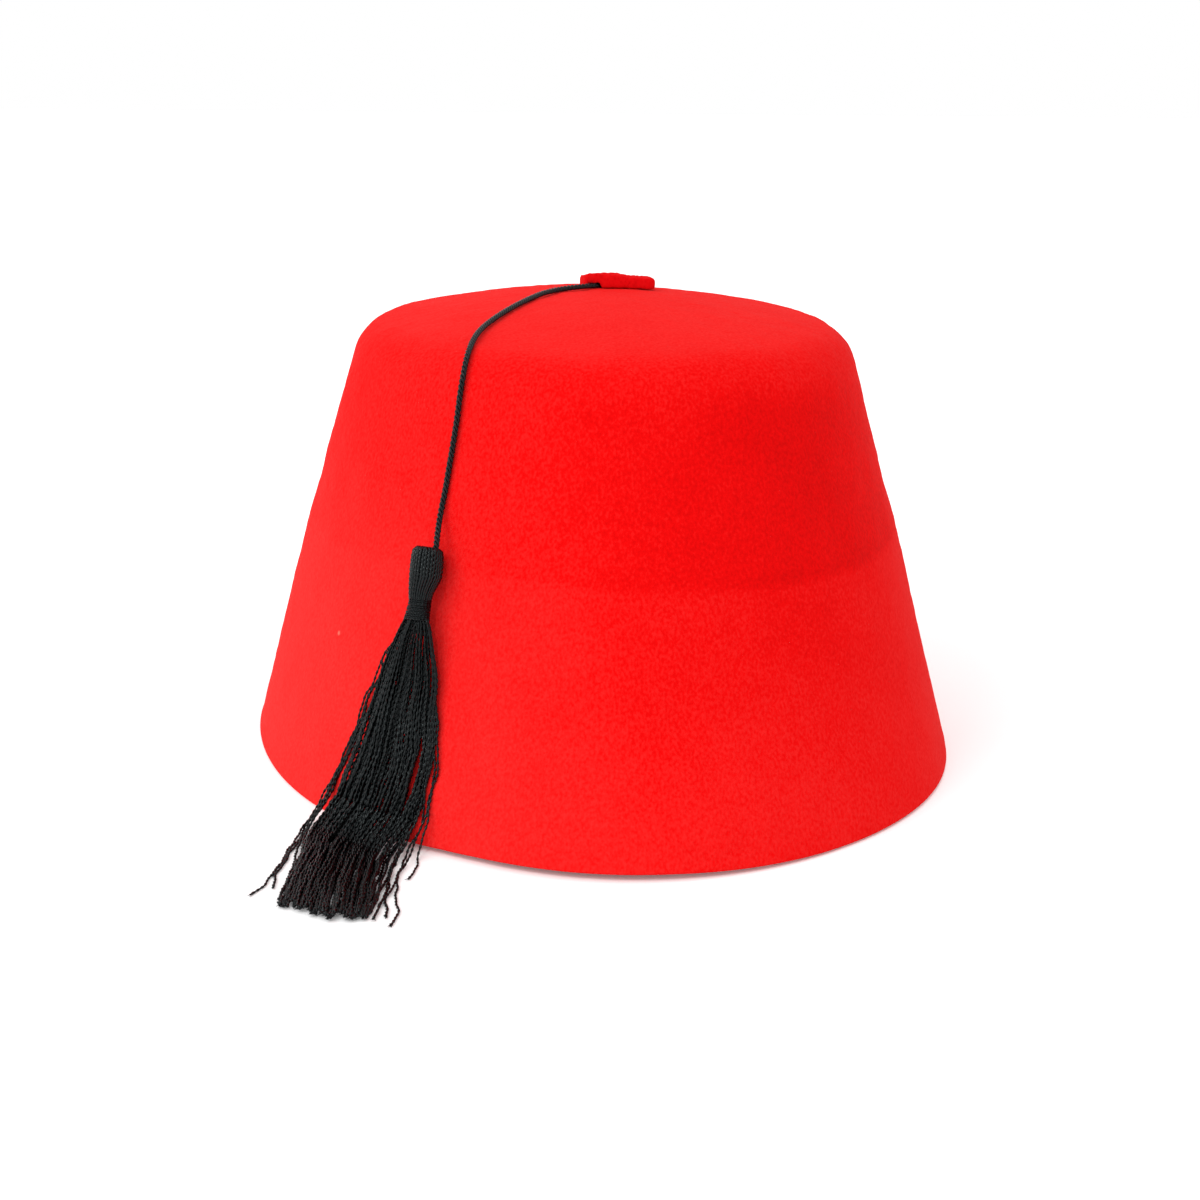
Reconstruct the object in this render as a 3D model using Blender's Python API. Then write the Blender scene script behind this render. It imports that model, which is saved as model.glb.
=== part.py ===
"""Fez hat: a stiff red felt crown with a black cord and tassel.

The hat stands on its rim on a flat surface. The cord starts under a felt tab on the
top, crosses the shoulder and hangs down the wall, and the tassel's threads turn out
over the surface. Units are metres and +Z is up. The origin is on the surface, at the
centre of the rim, and the oval is longest along Y.
"""

import math
from typing import NamedTuple

import bmesh
import bpy
from mathutils import Vector
from mathutils.geometry import interpolate_bezier

# Crown: a cone with a low dome on top, oval in plan, open below
CROWN_HEIGHT = 0.110
RIM_WIDTH = 0.176
RIM_LENGTH = 0.204
TOP_WIDTH = 0.1192
TOP_LENGTH = 0.1348
DOME_RISE = 0.0079
SHOULDER_RADIUS = 0.0124
FELT_THICKNESS = 0.0025
STEP_HEIGHT = 0.0565
STEP_DEPTH = 0.0006
STEP_BLEND = 0.003
STEP_WAVE = 0.0012
STEP_WAVES = 3

# Felt tab on the top, which holds the cord's end
TAB_LENGTH = 0.0181
TAB_DEPTH = 0.0085
TAB_THICKNESS = 0.0026
TAB_X = 0.0054
TAB_Y = 0.0102
TAB_BULGE = 0.0009
TAB_COLUMNS = 20
TAB_ROWS = 10
TAB_CORNER_SHARE = 0.7
TAB_EDGE_SHARE = 0.35
TAB_BULGE_SHARE = 0.8
TAB_HOLLOW_NEAR = 0.9
TAB_HOLLOW_FAR = 1.6

# Cord and tassel
CORD_DIAMETER = 0.0018
CORD_SPACING = 2.0
HEAD_DIAMETER = 0.0072
NECK_DIAMETER = 0.0037
BINDING_THREAD = 0.00055
BINDING_RIDGES = 8
BINDING_GROOVE = 0.55
LOCK_COUNT = 13
LOCK_THICKNESS = 0.0032
LOCK_NOTCH = 0.0022

# Space between pieces that touch on the real hat, and under the tassel
GAP = 0.0003
FLOOR_GAP = 0.0002

# Fineness of the round shapes
CROWN_SIDES = 64
DOME_RINGS = 5
SHOULDER_RINGS = 4
HEAD_SIDES = 16
LOCK_COLUMNS = 4
SKIRT_STATIONS = 18


class RoutePoint(NamedTuple):
    """A place on the crown: share of the way down, bearing in degrees, and rise."""

    down: float
    bearing: float
    rise: float


class SkirtRow(NamedTuple):
    """The skirt at one share of the way down the crown, with edges in degrees."""

    down: float
    left: float
    right: float
    lift: float


class FloorRow(NamedTuple):
    """How far, which way and how thickly the threads run out, across the skirt."""

    across: float
    reach: float
    bearing: float
    fill: float


class HeadRow(NamedTuple):
    """A ring of the tassel's head: share along its axis and share of its radius."""

    along: float
    radius: float


# The cord's route down the crown; it rises off the felt as it nears the tassel's head
CORD_ROUTE = [
    RoutePoint(0.053, 67.0, 0.0),
    RoutePoint(0.042, 73.0, 0.0),
    RoutePoint(0.033, 83.0, 0.0),
    RoutePoint(0.027, 105.0, 0.0),
    RoutePoint(0.028, 133.0, 0.0),
    RoutePoint(0.038, 155.0, 0.0),
    RoutePoint(0.052, 167.5, 0.0),
    RoutePoint(0.070, 180.5, 0.0),
    RoutePoint(0.088, 190.8, 0.0),
    RoutePoint(0.108, 198.9, 0.0),
    RoutePoint(0.154, 211.7, 0.0),
    RoutePoint(0.200, 218.1, 0.0),
    RoutePoint(0.245, 222.1, 0.0),
    RoutePoint(0.286, 225.0, 0.0),
    RoutePoint(0.324, 227.9, 0.0),
    RoutePoint(0.359, 230.5, 0.0),
    RoutePoint(0.378, 231.4, 0.0),
    RoutePoint(0.399, 232.0, 0.0),
    RoutePoint(0.419, 232.1, 0.0),
    RoutePoint(0.443, 232.2, 0.0),
    RoutePoint(0.477, 232.2, 0.0),
    RoutePoint(0.509, 232.1, 0.0),
    RoutePoint(0.540, 232.0, 0.0),
    RoutePoint(0.568, 232.0, 0.1),
    RoutePoint(0.583, 232.4, 0.33),
    RoutePoint(0.598, 233.0, 0.63),
    RoutePoint(0.611, 233.6, 0.88),
    RoutePoint(0.622, 233.9, 1.0),
]

# Ends of the tassel head's axis, on the crown
HEAD_TOP = RoutePoint(0.627, 232.8, 1.0)
NECK_END = RoutePoint(0.717, 232.8, 1.0)

# The turned head: cap, belly, neck and the start of the skirt
HEAD_ROWS = [
    HeadRow(0.0, 0.0),
    HeadRow(0.0, 0.64),
    HeadRow(0.04, 0.88),
    HeadRow(0.11, 1.0),
    HeadRow(0.32, 1.0),
    HeadRow(0.44, 0.84),
    HeadRow(0.54, 0.70),
]
NECK_SHARE = (0.60, 0.92)
COLLAR_SHARE = 0.72

# The skirt on the crown, and then on the surface; fill is a share of a lock's thickness
SKIRT_ROWS = [
    SkirtRow(0.740, 229.0, 233.7, 0.0024),
    SkirtRow(0.780, 226.4, 235.1, 0.0012),
    SkirtRow(0.830, 224.2, 236.2, 0.0004),
    SkirtRow(0.880, 221.8, 236.7, 0.0),
    SkirtRow(0.925, 219.8, 236.7, 0.0),
    SkirtRow(0.965, 218.4, 236.5, 0.0),
]
FLOOR_ROWS = [
    FloorRow(-1.0, 0.0470, 255.1, 0.30),
    FloorRow(-0.75, 0.0456, 255.1, 0.75),
    FloorRow(-0.5, 0.0441, 255.0, 0.95),
    FloorRow(0.0, 0.0425, 254.4, 1.0),
    FloorRow(0.5, 0.0380, 253.2, 0.90),
    FloorRow(0.75, 0.0360, 251.3, 0.70),
    FloorRow(1.0, 0.0335, 248.3, 0.30),
]
END_STAGGER = (0.0, 0.0018, -0.0012, 0.0009, -0.0016)
FOOT_RUN = 0.0045
RUN_SHARES = (0.0, 0.33, 0.66, 1.0)
VALLEY_FILL = 0.4
LOBE_POWER = 0.6
FULL_SHARE = 0.3

# The round bundle of threads in the neck, as shares of the neck's radius
BUNDLE_DEPTH = 0.7
BUNDLE_ROUND = 0.8
ROOT_SPREAD = 0.65
COLLAR_SPREAD = 1.2

FELT_RED = "D8100E"
TAB_RED = "C60D12"
CORD_BLACK = "17171A"
TASSEL_BLACK = "1C1C20"
BINDING_BLACK = "222226"


class Section(NamedTuple):
    """The crown's outline in section, from the middle of the top to the rim."""

    rim_radius: float
    dome_radius: float
    dome_centre: float
    dome_turn: float
    shoulder_x: float
    shoulder_z: float
    wall_turn: float
    wall_length: float
    length: float


def make_section():
    """Join the dome's arc and the wall's line by the shoulder's arc."""
    rim = (RIM_WIDTH + RIM_LENGTH) / 4
    top = (TOP_WIDTH + TOP_LENGTH) / 4
    corner = CROWN_HEIGHT - DOME_RISE
    dome = (top * top + DOME_RISE * DOME_RISE) / (2 * DOME_RISE)
    centre = CROWN_HEIGHT - dome
    slope = Vector((top - rim, corner)).normalized()
    inward = Vector((-slope.y, slope.x))
    start = Vector((rim, -centre)) + inward * SHOULDER_RADIUS
    along = start.dot(slope)
    reach = along * along - start.length_squared + (dome - SHOULDER_RADIUS) ** 2
    shoulder = start + slope * (math.sqrt(reach) - along)
    touch = shoulder - inward * SHOULDER_RADIUS
    dome_turn = math.atan2(shoulder.x, shoulder.y)
    wall_turn = math.atan2(-inward.x, -inward.y)
    wall = (touch - Vector((rim, -centre))).length
    length = dome * dome_turn + SHOULDER_RADIUS * (wall_turn - dome_turn) + wall
    return Section(rim, dome, centre, dome_turn, shoulder.x, shoulder.y + centre,
                   wall_turn, wall, length)


SECTION = make_section()
DOME_SHARE = SECTION.dome_radius * SECTION.dome_turn / SECTION.length
WALL_SHARE = 1 - SECTION.wall_length / SECTION.length


def meridian(share, inset=0.0):
    """Return radius and height at a share of the way down, inset into the felt."""
    if share < DOME_SHARE:
        turn = SECTION.dome_turn * share / DOME_SHARE
        arm = SECTION.dome_radius - inset
        return Vector((arm * math.sin(turn), SECTION.dome_centre + arm * math.cos(turn)))
    if share < WALL_SHARE:
        part = (share - DOME_SHARE) / (WALL_SHARE - DOME_SHARE)
        turn = SECTION.dome_turn + (SECTION.wall_turn - SECTION.dome_turn) * part
        arm = SHOULDER_RADIUS - inset
    else:
        turn = SECTION.wall_turn
        arm = SHOULDER_RADIUS - inset
    place = Vector((SECTION.shoulder_x + arm * math.sin(turn),
                    SECTION.shoulder_z + arm * math.cos(turn)))
    if share < WALL_SHARE:
        return place
    rim = Vector((SECTION.rim_radius - inset / math.sin(SECTION.wall_turn), 0.0))
    return place.lerp(rim, (share - WALL_SHARE) / (1 - WALL_SHARE))


def share_at(height):
    """Return the share of the way down at which the wall has this height."""
    top = meridian(WALL_SHARE).y
    return WALL_SHARE + (1 - WALL_SHARE) * (top - height) / top


def step_height(bearing):
    """Return the height of the pressed step, which wanders round the crown."""
    return STEP_HEIGHT + STEP_WAVE * math.cos(STEP_WAVES * bearing)


def step_out(height, bearing):
    """Return how far the felt stands out at the step; it fades away to the rim."""
    edge = step_height(bearing)
    if height <= edge:
        return STEP_DEPTH * height / edge
    return STEP_DEPTH * max(0.0, 1 - (height - edge) / STEP_BLEND)


def oval(height, bearing):
    """Return how much the plan is stretched at a bearing, rim and top apart."""
    rim = (RIM_WIDTH - RIM_LENGTH) / (RIM_WIDTH + RIM_LENGTH)
    top = (TOP_WIDTH - TOP_LENGTH) / (TOP_WIDTH + TOP_LENGTH)
    return 1 + (rim + (top - rim) * height / CROWN_HEIGHT) * math.cos(2 * bearing)


def crown_point(share, bearing, inset=0.0, stepped=True):
    """Return a point of the crown's surface; the bearing is in radians."""
    radius, height = meridian(share, inset)
    if stepped:
        radius += step_out(height, bearing)
    radius *= oval(height, bearing)
    return Vector((radius * math.cos(bearing), radius * math.sin(bearing), height))


def crown_normal(share, bearing):
    """Return the crown's outward direction, leaving out the small step."""
    small = 0.001
    low = crown_point(share + small, bearing, stepped=False)
    high = crown_point(share - small, bearing, stepped=False)
    left = crown_point(share, bearing + small, stepped=False)
    right = crown_point(share, bearing - small, stepped=False)
    return (low - high).cross(left - right).normalized()


def on_crown(share, bearing_degrees, lift):
    """Return a point that stands off the crown by lift, and the way out of the felt."""
    bearing = math.radians(bearing_degrees)
    normal = crown_normal(share, bearing)
    return crown_point(share, bearing) + normal * lift, normal


def interpolate(rows, key, value, at):
    """Read a table's column between its rows."""
    for low, high in zip(rows, rows[1:]):
        if at <= getattr(high, key):
            break
    start = getattr(low, key)
    part = (at - start) / (getattr(high, key) - start)
    return getattr(low, value) + (getattr(high, value) - getattr(low, value)) * part


def smooth_curve(points):
    """Return close points on a smooth curve through the given ones."""
    slopes = []
    for index, point in enumerate(points):
        before = points[max(index - 1, 0)]
        after = points[min(index + 1, len(points) - 1)]
        slopes.append((after - before).normalized())
    dense = []
    for index, (start, end) in enumerate(zip(points, points[1:])):
        handle = (end - start).length / 3
        piece = interpolate_bezier(start, start + slopes[index] * handle,
                                   end - slopes[index + 1] * handle, end, 13)
        dense += piece[1:] if dense else piece
    return dense


def polyline_length(points):
    """Return the length of a polyline."""
    return sum((end - start).length for start, end in zip(points, points[1:]))


def even_points(points, count):
    """Walk along a polyline and return its ends and the points between at even steps."""
    lengths = [(end - start).length for start, end in zip(points, points[1:])]
    total = sum(lengths)
    result = [points[0].copy()]
    index = 0
    walked = 0.0
    for number in range(1, count):
        target = total * number / count
        while walked + lengths[index] < target:
            walked += lengths[index]
            index += 1
        part = (target - walked) / lengths[index]
        result.append(points[index].lerp(points[index + 1], part))
    result.append(points[-1].copy())
    return result


def make_material(name, colour, roughness):
    """Make a Principled material from an sRGB hex colour."""
    channels = [int(colour[place:place + 2], 16) / 255 for place in (0, 2, 4)]
    linear = [value / 12.92 if value < 0.04045 else ((value + 0.055) / 1.055) ** 2.4
              for value in channels]
    material = bpy.data.materials.new(name)
    material.use_nodes = True
    shader = material.node_tree.nodes["Principled BSDF"]
    shader.inputs["Base Color"].default_value = (*linear, 1.0)
    shader.inputs["Roughness"].default_value = roughness
    shader.inputs["Metallic"].default_value = 0.0
    material.diffuse_color = (*linear, 1.0)
    return material


def make_object(name, mesh, material=None):
    """Link a named object and give it its material."""
    thing = bpy.data.objects.new(name, mesh)
    bpy.context.scene.collection.objects.link(thing)
    if material:
        mesh.materials.append(material)
    return thing


def finish_mesh(name, work):
    """Turn a bmesh whose faces close it into a mesh that faces out."""
    bmesh.ops.recalc_face_normals(work, faces=work.faces)
    mesh = bpy.data.meshes.new(name)
    work.to_mesh(mesh)
    work.free()
    mesh.shade_smooth()
    mesh.set_sharp_from_angle(angle=math.radians(50))
    return mesh


def skin_rings(name, rings, closed=False):
    """Close a row of rings into one skin; a ring of one point is a pole."""
    work = bmesh.new()
    loops = [[work.verts.new(point) for point in ring] for ring in rings]
    followers = loops[1:] + loops[:1] if closed else loops[1:]
    for first, second in zip(loops, followers):
        count = max(len(first), len(second))
        for index in range(count):
            after = (index + 1) % count
            corners = [first[index % len(first)], first[after % len(first)],
                       second[after % len(second)], second[index % len(second)]]
            work.faces.new(list(dict.fromkeys(corners)))
    return finish_mesh(name, work)


def skin_slab(name, lower, upper):
    """Close two grids of points, one above the other, into a slab."""
    work = bmesh.new()
    sheets = [[[work.verts.new(point) for point in line] for line in grid]
              for grid in (lower, upper)]
    columns = len(lower) - 1
    rows = len(lower[0]) - 1
    for sheet in sheets:
        for column in range(columns):
            for row in range(rows):
                work.faces.new([sheet[column + a][row + b]
                                for a, b in ((0, 0), (1, 0), (1, 1), (0, 1))])
    border = [(column, 0) for column in range(columns)]
    border += [(columns, row) for row in range(rows)]
    border += [(column, rows) for column in range(columns, 0, -1)]
    border += [(0, row) for row in range(rows, 0, -1)]
    for (column, row), (next_column, next_row) in zip(border, border[1:] + border[:1]):
        work.faces.new([sheets[0][column][row], sheets[0][next_column][next_row],
                        sheets[1][next_column][next_row], sheets[1][column][row]])
    return finish_mesh(name, work)


def crown_ring(share_for, inset):
    """Return one ring of crown points; the share may depend on the bearing."""
    ring = []
    for side in range(CROWN_SIDES):
        bearing = 2 * math.pi * (side + 0.5) / CROWN_SIDES
        ring.append(crown_point(share_for(bearing), bearing, inset))
    return ring


def crown_rings(inset):
    """Return the rings of one face of the felt, from the top's middle to the rim."""
    shares = [DOME_SHARE * ring / DOME_RINGS for ring in range(1, DOME_RINGS + 1)]
    for ring in range(1, SHOULDER_RINGS + 1):
        shares.append(DOME_SHARE + (WALL_SHARE - DOME_SHARE) * ring / SHOULDER_RINGS)
    levels = [lambda bearing, share=share: share for share in shares]
    levels.append(lambda bearing: share_at(step_height(bearing) + STEP_BLEND))
    levels.append(lambda bearing: share_at(step_height(bearing)))
    levels.append(lambda bearing: 1.0)
    pole = [crown_point(0.0, 0.0, inset)]
    return [pole] + [crown_ring(level, inset) for level in levels]


def build_crown():
    """Build the hollow felt crown with its open underside."""
    rings = crown_rings(0.0) + crown_rings(FELT_THICKNESS)[::-1]
    felt = make_material("red_felt", FELT_RED, 0.9)
    return make_object("felt_crown", skin_rings("felt_crown", rings), felt)


def head_lift():
    """Return how far the tassel head's axis stands off the felt."""
    return HEAD_DIAMETER / 2 + STEP_DEPTH + GAP


def cord_points():
    """Return the cord's centreline, from under the tab to the tassel's head."""
    rest = CORD_DIAMETER / 2 + GAP
    climb = head_lift() - rest
    route = [on_crown(row.down, row.bearing, rest + row.rise * climb)[0] for row in CORD_ROUTE]
    line = smooth_curve(route)
    return even_points(line, round(polyline_length(line) / (CORD_SPACING * CORD_DIAMETER)))


def build_cord():
    """Build the cord as a round bevelled curve."""
    points = cord_points()
    curve = bpy.data.curves.new("hanging_cord", "CURVE")
    curve.dimensions = "3D"
    curve.bevel_depth = CORD_DIAMETER / 2
    curve.bevel_resolution = 2
    curve.use_fill_caps = True
    line = curve.splines.new("POLY")
    line.points.add(len(points) - 1)
    for spot, point in zip(line.points, points):
        spot.co = (*point, 1.0)
    return make_object("hanging_cord", curve, make_material("black_cord", CORD_BLACK, 0.6))


def nearness(distance, near, far):
    """Return 1 within the near distance, 0 past the far one and a smooth step between."""
    part = min(max((far - distance) / (far - near), 0.0), 1.0)
    return part * part * (3 - 2 * part)


def top_height(x, y):
    """Return the height of the crown's top above a point near its middle."""
    bearing = math.atan2(y, x)
    radius = math.hypot(x, y) / oval(CROWN_HEIGHT, bearing)
    return SECTION.dome_centre + math.sqrt(SECTION.dome_radius ** 2 - radius ** 2)


def build_tab():
    """Build the felt tab, which lies on the top and bulges over the cord's end."""
    covered = [point for point in cord_points() if abs(point.x - TAB_X) < TAB_LENGTH]
    corner = TAB_THICKNESS * TAB_CORNER_SHARE

    def cell(column, row, upper):
        """Return one grid point of the tab's upper or lower face."""
        across = (2 * column / TAB_COLUMNS - 1) * TAB_LENGTH / 2
        deep = (2 * row / TAB_ROWS - 1) * TAB_DEPTH / 2
        past_x = max(abs(across) - (TAB_LENGTH / 2 - corner), 0.0)
        past_y = max(abs(deep) - (TAB_DEPTH / 2 - corner), 0.0)
        past = max(past_x, past_y)
        away = math.hypot(past_x, past_y)
        pull = past / away if away else 1.0
        x = TAB_X + across - math.copysign(past_x * (1 - pull), across)
        y = TAB_Y + deep - math.copysign(past_y * (1 - pull), deep)
        flat = Vector((x, y))
        beside = min((point.xy - flat).length for point in covered)
        over = nearness(beside, CORD_DIAMETER * TAB_HOLLOW_NEAR, CORD_DIAMETER * TAB_HOLLOW_FAR)
        lift = GAP + (CORD_DIAMETER + GAP) * over
        if upper:
            bulge = TAB_BULGE * nearness(beside, 0.0, TAB_DEPTH * TAB_BULGE_SHARE)
            drop = corner * TAB_EDGE_SHARE * (past / corner) ** 2
            lift = GAP + TAB_THICKNESS + bulge - drop
        return Vector((x, y, top_height(x, y) + lift))

    lower, upper = ([[cell(column, row, above) for row in range(TAB_ROWS + 1)]
                     for column in range(TAB_COLUMNS + 1)] for above in (False, True))
    mesh = skin_slab("top_tab", lower, upper)
    return make_object("top_tab", mesh, make_material("tab_felt", TAB_RED, 0.9))


def head_axis():
    """Return the two ends of the tassel head's axis and two directions across it."""
    top, outward = on_crown(HEAD_TOP.down, HEAD_TOP.bearing, head_lift() * HEAD_TOP.rise)
    end = on_crown(NECK_END.down, NECK_END.bearing, head_lift() * NECK_END.rise)[0]
    along = (end - top).normalized()
    side = outward.cross(along).normalized()
    return top, end, side, along.cross(side)


def turned_ring(along, radius):
    """Return a ring round the tassel head's axis; a radius of zero is a pole."""
    top, end, side, outward = head_axis()
    centre = top.lerp(end, along)
    if radius == 0:
        return [centre]
    ring = []
    for number in range(HEAD_SIDES):
        turn = 2 * math.pi * number / HEAD_SIDES
        ring.append(centre + (side * math.cos(turn) + outward * math.sin(turn)) * radius)
    return ring


def half_bundle(across):
    """Return half the depth of the round bundle in the neck, at a place across it."""
    return NECK_DIAMETER / 2 * BUNDLE_DEPTH * math.sqrt(1 - BUNDLE_ROUND * across * across)


def skirt_route(across, trim):
    """Return the underside of the skirt, from the neck to the threads' ends."""
    top, end, side, outward = head_axis()
    neck = NECK_DIAMETER / 2
    behind = outward * half_bundle(across)
    start = top.lerp(end, (NECK_SHARE[0] + NECK_SHARE[1]) / 2)
    route = [start + side * across * neck * ROOT_SPREAD - behind]
    route.append(end + side * across * neck * COLLAR_SPREAD - behind)
    for row in SKIRT_ROWS:
        bearing = row.left + (row.right - row.left) * (across + 1) / 2
        route.append(on_crown(row.down, bearing, GAP + row.lift)[0])
    foot, normal = on_crown(1.0, bearing, 0.0)
    out = Vector((normal.x, normal.y, 0.0)).normalized()
    heading = math.radians(interpolate(FLOOR_ROWS, "across", "bearing", across))
    away = Vector((math.cos(heading), math.sin(heading), 0.0))
    level = Vector((0.0, 0.0, FLOOR_GAP))
    run_out = foot + (out + away) * FOOT_RUN + level
    tip = foot + away * (interpolate(FLOOR_ROWS, "across", "reach", across) - trim) + level
    return route + [run_out.lerp(tip, share) for share in RUN_SHARES]


def keep_clear(point):
    """Move a point of the skirt's underside clear of the crown and of the surface."""
    height = max(point.z, FLOOR_GAP)
    bearing = math.atan2(point.y, point.x)
    wall = crown_point(share_at(height), bearing).xy.length + GAP / math.sin(SECTION.wall_turn)
    return Vector((*point.xy * max(1.0, wall / point.xy.length), height))


def skirt_thickness(across, along, lobe):
    """Return the skirt's thickness: round at the neck, then in ridges, one to a lock."""
    bundle = half_bundle(across) * 2
    fill = interpolate(FLOOR_ROWS, "across", "fill", across)
    ridge = LOCK_THICKNESS * fill * (VALLEY_FILL + (1 - VALLEY_FILL) * lobe)
    return bundle + (ridge - bundle) * nearness(along, FULL_SHARE, 0.0)


def build_skirt():
    """Build the skirt's locks, side by side and grown together at their roots."""
    outward = head_axis()[3]
    columns = LOCK_COUNT * LOCK_COLUMNS
    under = []
    thickness = []
    for column in range(columns + 1):
        across = 2 * column / columns - 1
        lobe = math.sin(math.pi * (column % LOCK_COLUMNS) / LOCK_COLUMNS) ** LOBE_POWER
        stagger = END_STAGGER[column // LOCK_COLUMNS % len(END_STAGGER)]
        trim = stagger * lobe + LOCK_NOTCH * (1 - lobe)
        line = even_points(smooth_curve(skirt_route(across, trim)), SKIRT_STATIONS)
        under.append([keep_clear(point) for point in line])
        thickness.append([skirt_thickness(across, station / SKIRT_STATIONS, lobe)
                          for station in range(SKIRT_STATIONS + 1)])
    upper = []
    for column in range(columns + 1):
        left = under[max(column - LOCK_COLUMNS, 0)]
        right = under[min(column + LOCK_COLUMNS, columns)]
        line = []
        for station in range(SKIRT_STATIONS + 1):
            before = under[column][max(station - 1, 0)]
            after = under[column][min(station + 1, SKIRT_STATIONS)]
            normal = (after - before).cross(right[station] - left[station]).normalized()
            settled = nearness(station / SKIRT_STATIONS, FULL_SHARE, 0.0)
            normal = outward.lerp(normal, settled).normalized()
            line.append(under[column][station] + normal * thickness[column][station])
        upper.append(line)
    return make_object("skirt_guide", skin_slab("skirt_guide", under, upper))


def build_tassel():
    """Build the tassel's head and neck, with its skirt of locks fused on."""
    radius = HEAD_DIAMETER / 2
    rings = [turned_ring(row.along, row.radius * radius) for row in HEAD_ROWS]
    rings += [turned_ring(share, NECK_DIAMETER / 2) for share in NECK_SHARE]
    rings.append(turned_ring(1.0, COLLAR_SHARE * radius))
    rings.append(turned_ring(1.0, 0.0))
    black = make_material("black_tassel", TASSEL_BLACK, 0.6)
    tassel = make_object("tassel", skin_rings("tassel", rings), black)
    skirt = build_skirt()
    skirt.hide_render = True
    skirt.display_type = "WIRE"
    fuse = tassel.modifiers.new("fuse_skirt", "BOOLEAN")
    fuse.operation = "UNION"
    fuse.solver = "EXACT"
    fuse.object = skirt
    return tassel


def build_binding():
    """Build the thread wound round the tassel's neck, as one ridged sleeve."""
    top, end = head_axis()[:2]
    inner = NECK_DIAMETER / 2 + GAP
    clear = GAP / (end - top).length
    low = NECK_SHARE[0] + clear
    high = NECK_SHARE[1] - clear
    rings = [turned_ring(high, inner), turned_ring(low, inner)]
    for ridge in range(BINDING_RIDGES):
        for part, height in ((0.0, BINDING_GROOVE), (0.5, 1.0)):
            share = low + (high - low) * (ridge + part) / BINDING_RIDGES
            rings.append(turned_ring(share, inner + BINDING_THREAD * height))
    rings.append(turned_ring(high, inner + BINDING_THREAD * BINDING_GROOVE))
    mesh = skin_rings("neck_binding", rings, closed=True)
    return make_object("neck_binding", mesh, make_material("black_binding", BINDING_BLACK, 0.5))


def main():
    """Clear the scene and build the hat's pieces."""
    for thing in list(bpy.data.objects):
        bpy.data.objects.remove(thing, do_unlink=True)
    build_crown()
    build_tab()
    build_cord()
    build_tassel()
    build_binding()


main()
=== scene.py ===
"""Looks of a red felt fez with a black cord and tassel.

The crown is dressed as blocked wool felt, the cord as three twisted plies, and the
tassel as a head of draped threads, a wound neck and a skirt of loose threads that turn
out over the floor. Units are metres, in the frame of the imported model.
"""

import logging
import math
from dataclasses import dataclass, field
from enum import Enum
from functools import cached_property
from typing import Any, NamedTuple, Optional, Sequence

import bpy
import numpy as np
from mathutils import Matrix, Vector


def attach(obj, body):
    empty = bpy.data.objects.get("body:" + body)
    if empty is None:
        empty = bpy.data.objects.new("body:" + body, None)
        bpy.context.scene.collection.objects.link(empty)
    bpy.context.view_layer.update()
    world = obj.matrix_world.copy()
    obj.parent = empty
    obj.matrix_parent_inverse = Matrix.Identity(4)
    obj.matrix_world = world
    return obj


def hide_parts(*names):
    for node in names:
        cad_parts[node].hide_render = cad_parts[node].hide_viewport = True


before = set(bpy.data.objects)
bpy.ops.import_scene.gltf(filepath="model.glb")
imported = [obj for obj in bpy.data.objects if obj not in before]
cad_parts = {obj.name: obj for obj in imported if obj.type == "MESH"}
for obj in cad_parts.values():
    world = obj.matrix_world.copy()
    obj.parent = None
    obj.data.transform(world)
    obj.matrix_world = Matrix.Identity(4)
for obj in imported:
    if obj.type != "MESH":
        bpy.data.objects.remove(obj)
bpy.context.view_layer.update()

Array = np.ndarray
MM = 0.001
BODY = "root"
UP = np.array([0.0, 0.0, 1.0])
WHITE = "FFFFFF"
EVEN_TONE = 0.5
CORE_TONE = 0.1
log = logging.getLogger("fez")


class RoutePoint(NamedTuple):
    """A place on the crown: share of the way down, bearing in degrees, and rise."""

    down: float
    bearing: float
    rise: float


class SkirtRow(NamedTuple):
    """The skirt at one share of the way down the crown, with edges in degrees."""

    down: float
    left: float
    right: float
    lift: float


class FloorRow(NamedTuple):
    """How far, which way and how thickly the threads run out, across the skirt."""

    across: float
    reach: float
    bearing: float
    fill: float


class CrowdRow(NamedTuple):
    """Where the close threads keep between, across the skirt, at a share of its length."""

    along: float
    left: float
    right: float


class HeadRow(NamedTuple):
    """A ring of the head or neck: share along the axis, and radius and shift in millimetres."""

    along: float
    radius: float
    shift: float


class WallPlace(NamedTuple):
    """A place of a stray thread on the crown: share of the way down and bearing."""

    down: float
    bearing: float


class RimRow(NamedTuple):
    """How far the felt's lower edge bows out and lifts at a bearing, in millimetres."""

    bearing: float
    out: float
    lift: float


class FloorPlace(NamedTuple):
    """A place of a stray thread on the floor, in millimetres."""

    x: float
    y: float


class StrayRow(NamedTuple):
    """A thread that left the bundle: its thickness in millimetres and its places."""

    thickness: float
    wall: tuple[WallPlace, ...]
    floor: tuple[FloorPlace, ...]


class LampRow(NamedTuple):
    """A far lamp: its name, strength and spread, and where it stands, in degrees."""

    name: str
    strength: float
    spread: float
    bearing: float
    height: float


class ReliefRow(NamedTuple):
    """One size of unevenness of the felt: height and wavelength in metres, and a seed."""

    height: float
    wavelength: float
    seed: int


class WaveRow(NamedTuple):
    """A slow wave in the threads: its size, its pace and where it starts."""

    size: float
    pace: float
    start: float = 0.0


class Slot(Enum):
    """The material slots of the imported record."""

    CROWN = "red_felt"
    TAB = "tab_felt"
    CORD = "black_cord"
    TASSEL = "black_tassel"
    BINDING = "black_binding"


class Layer(Enum):
    """The skirt's three layers of threads, by the share of its depth that each fills."""

    INNER = (0.0, 0.34)
    MIDDLE = (0.34, 0.68)
    OUTER = (0.68, 1.0)


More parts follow.
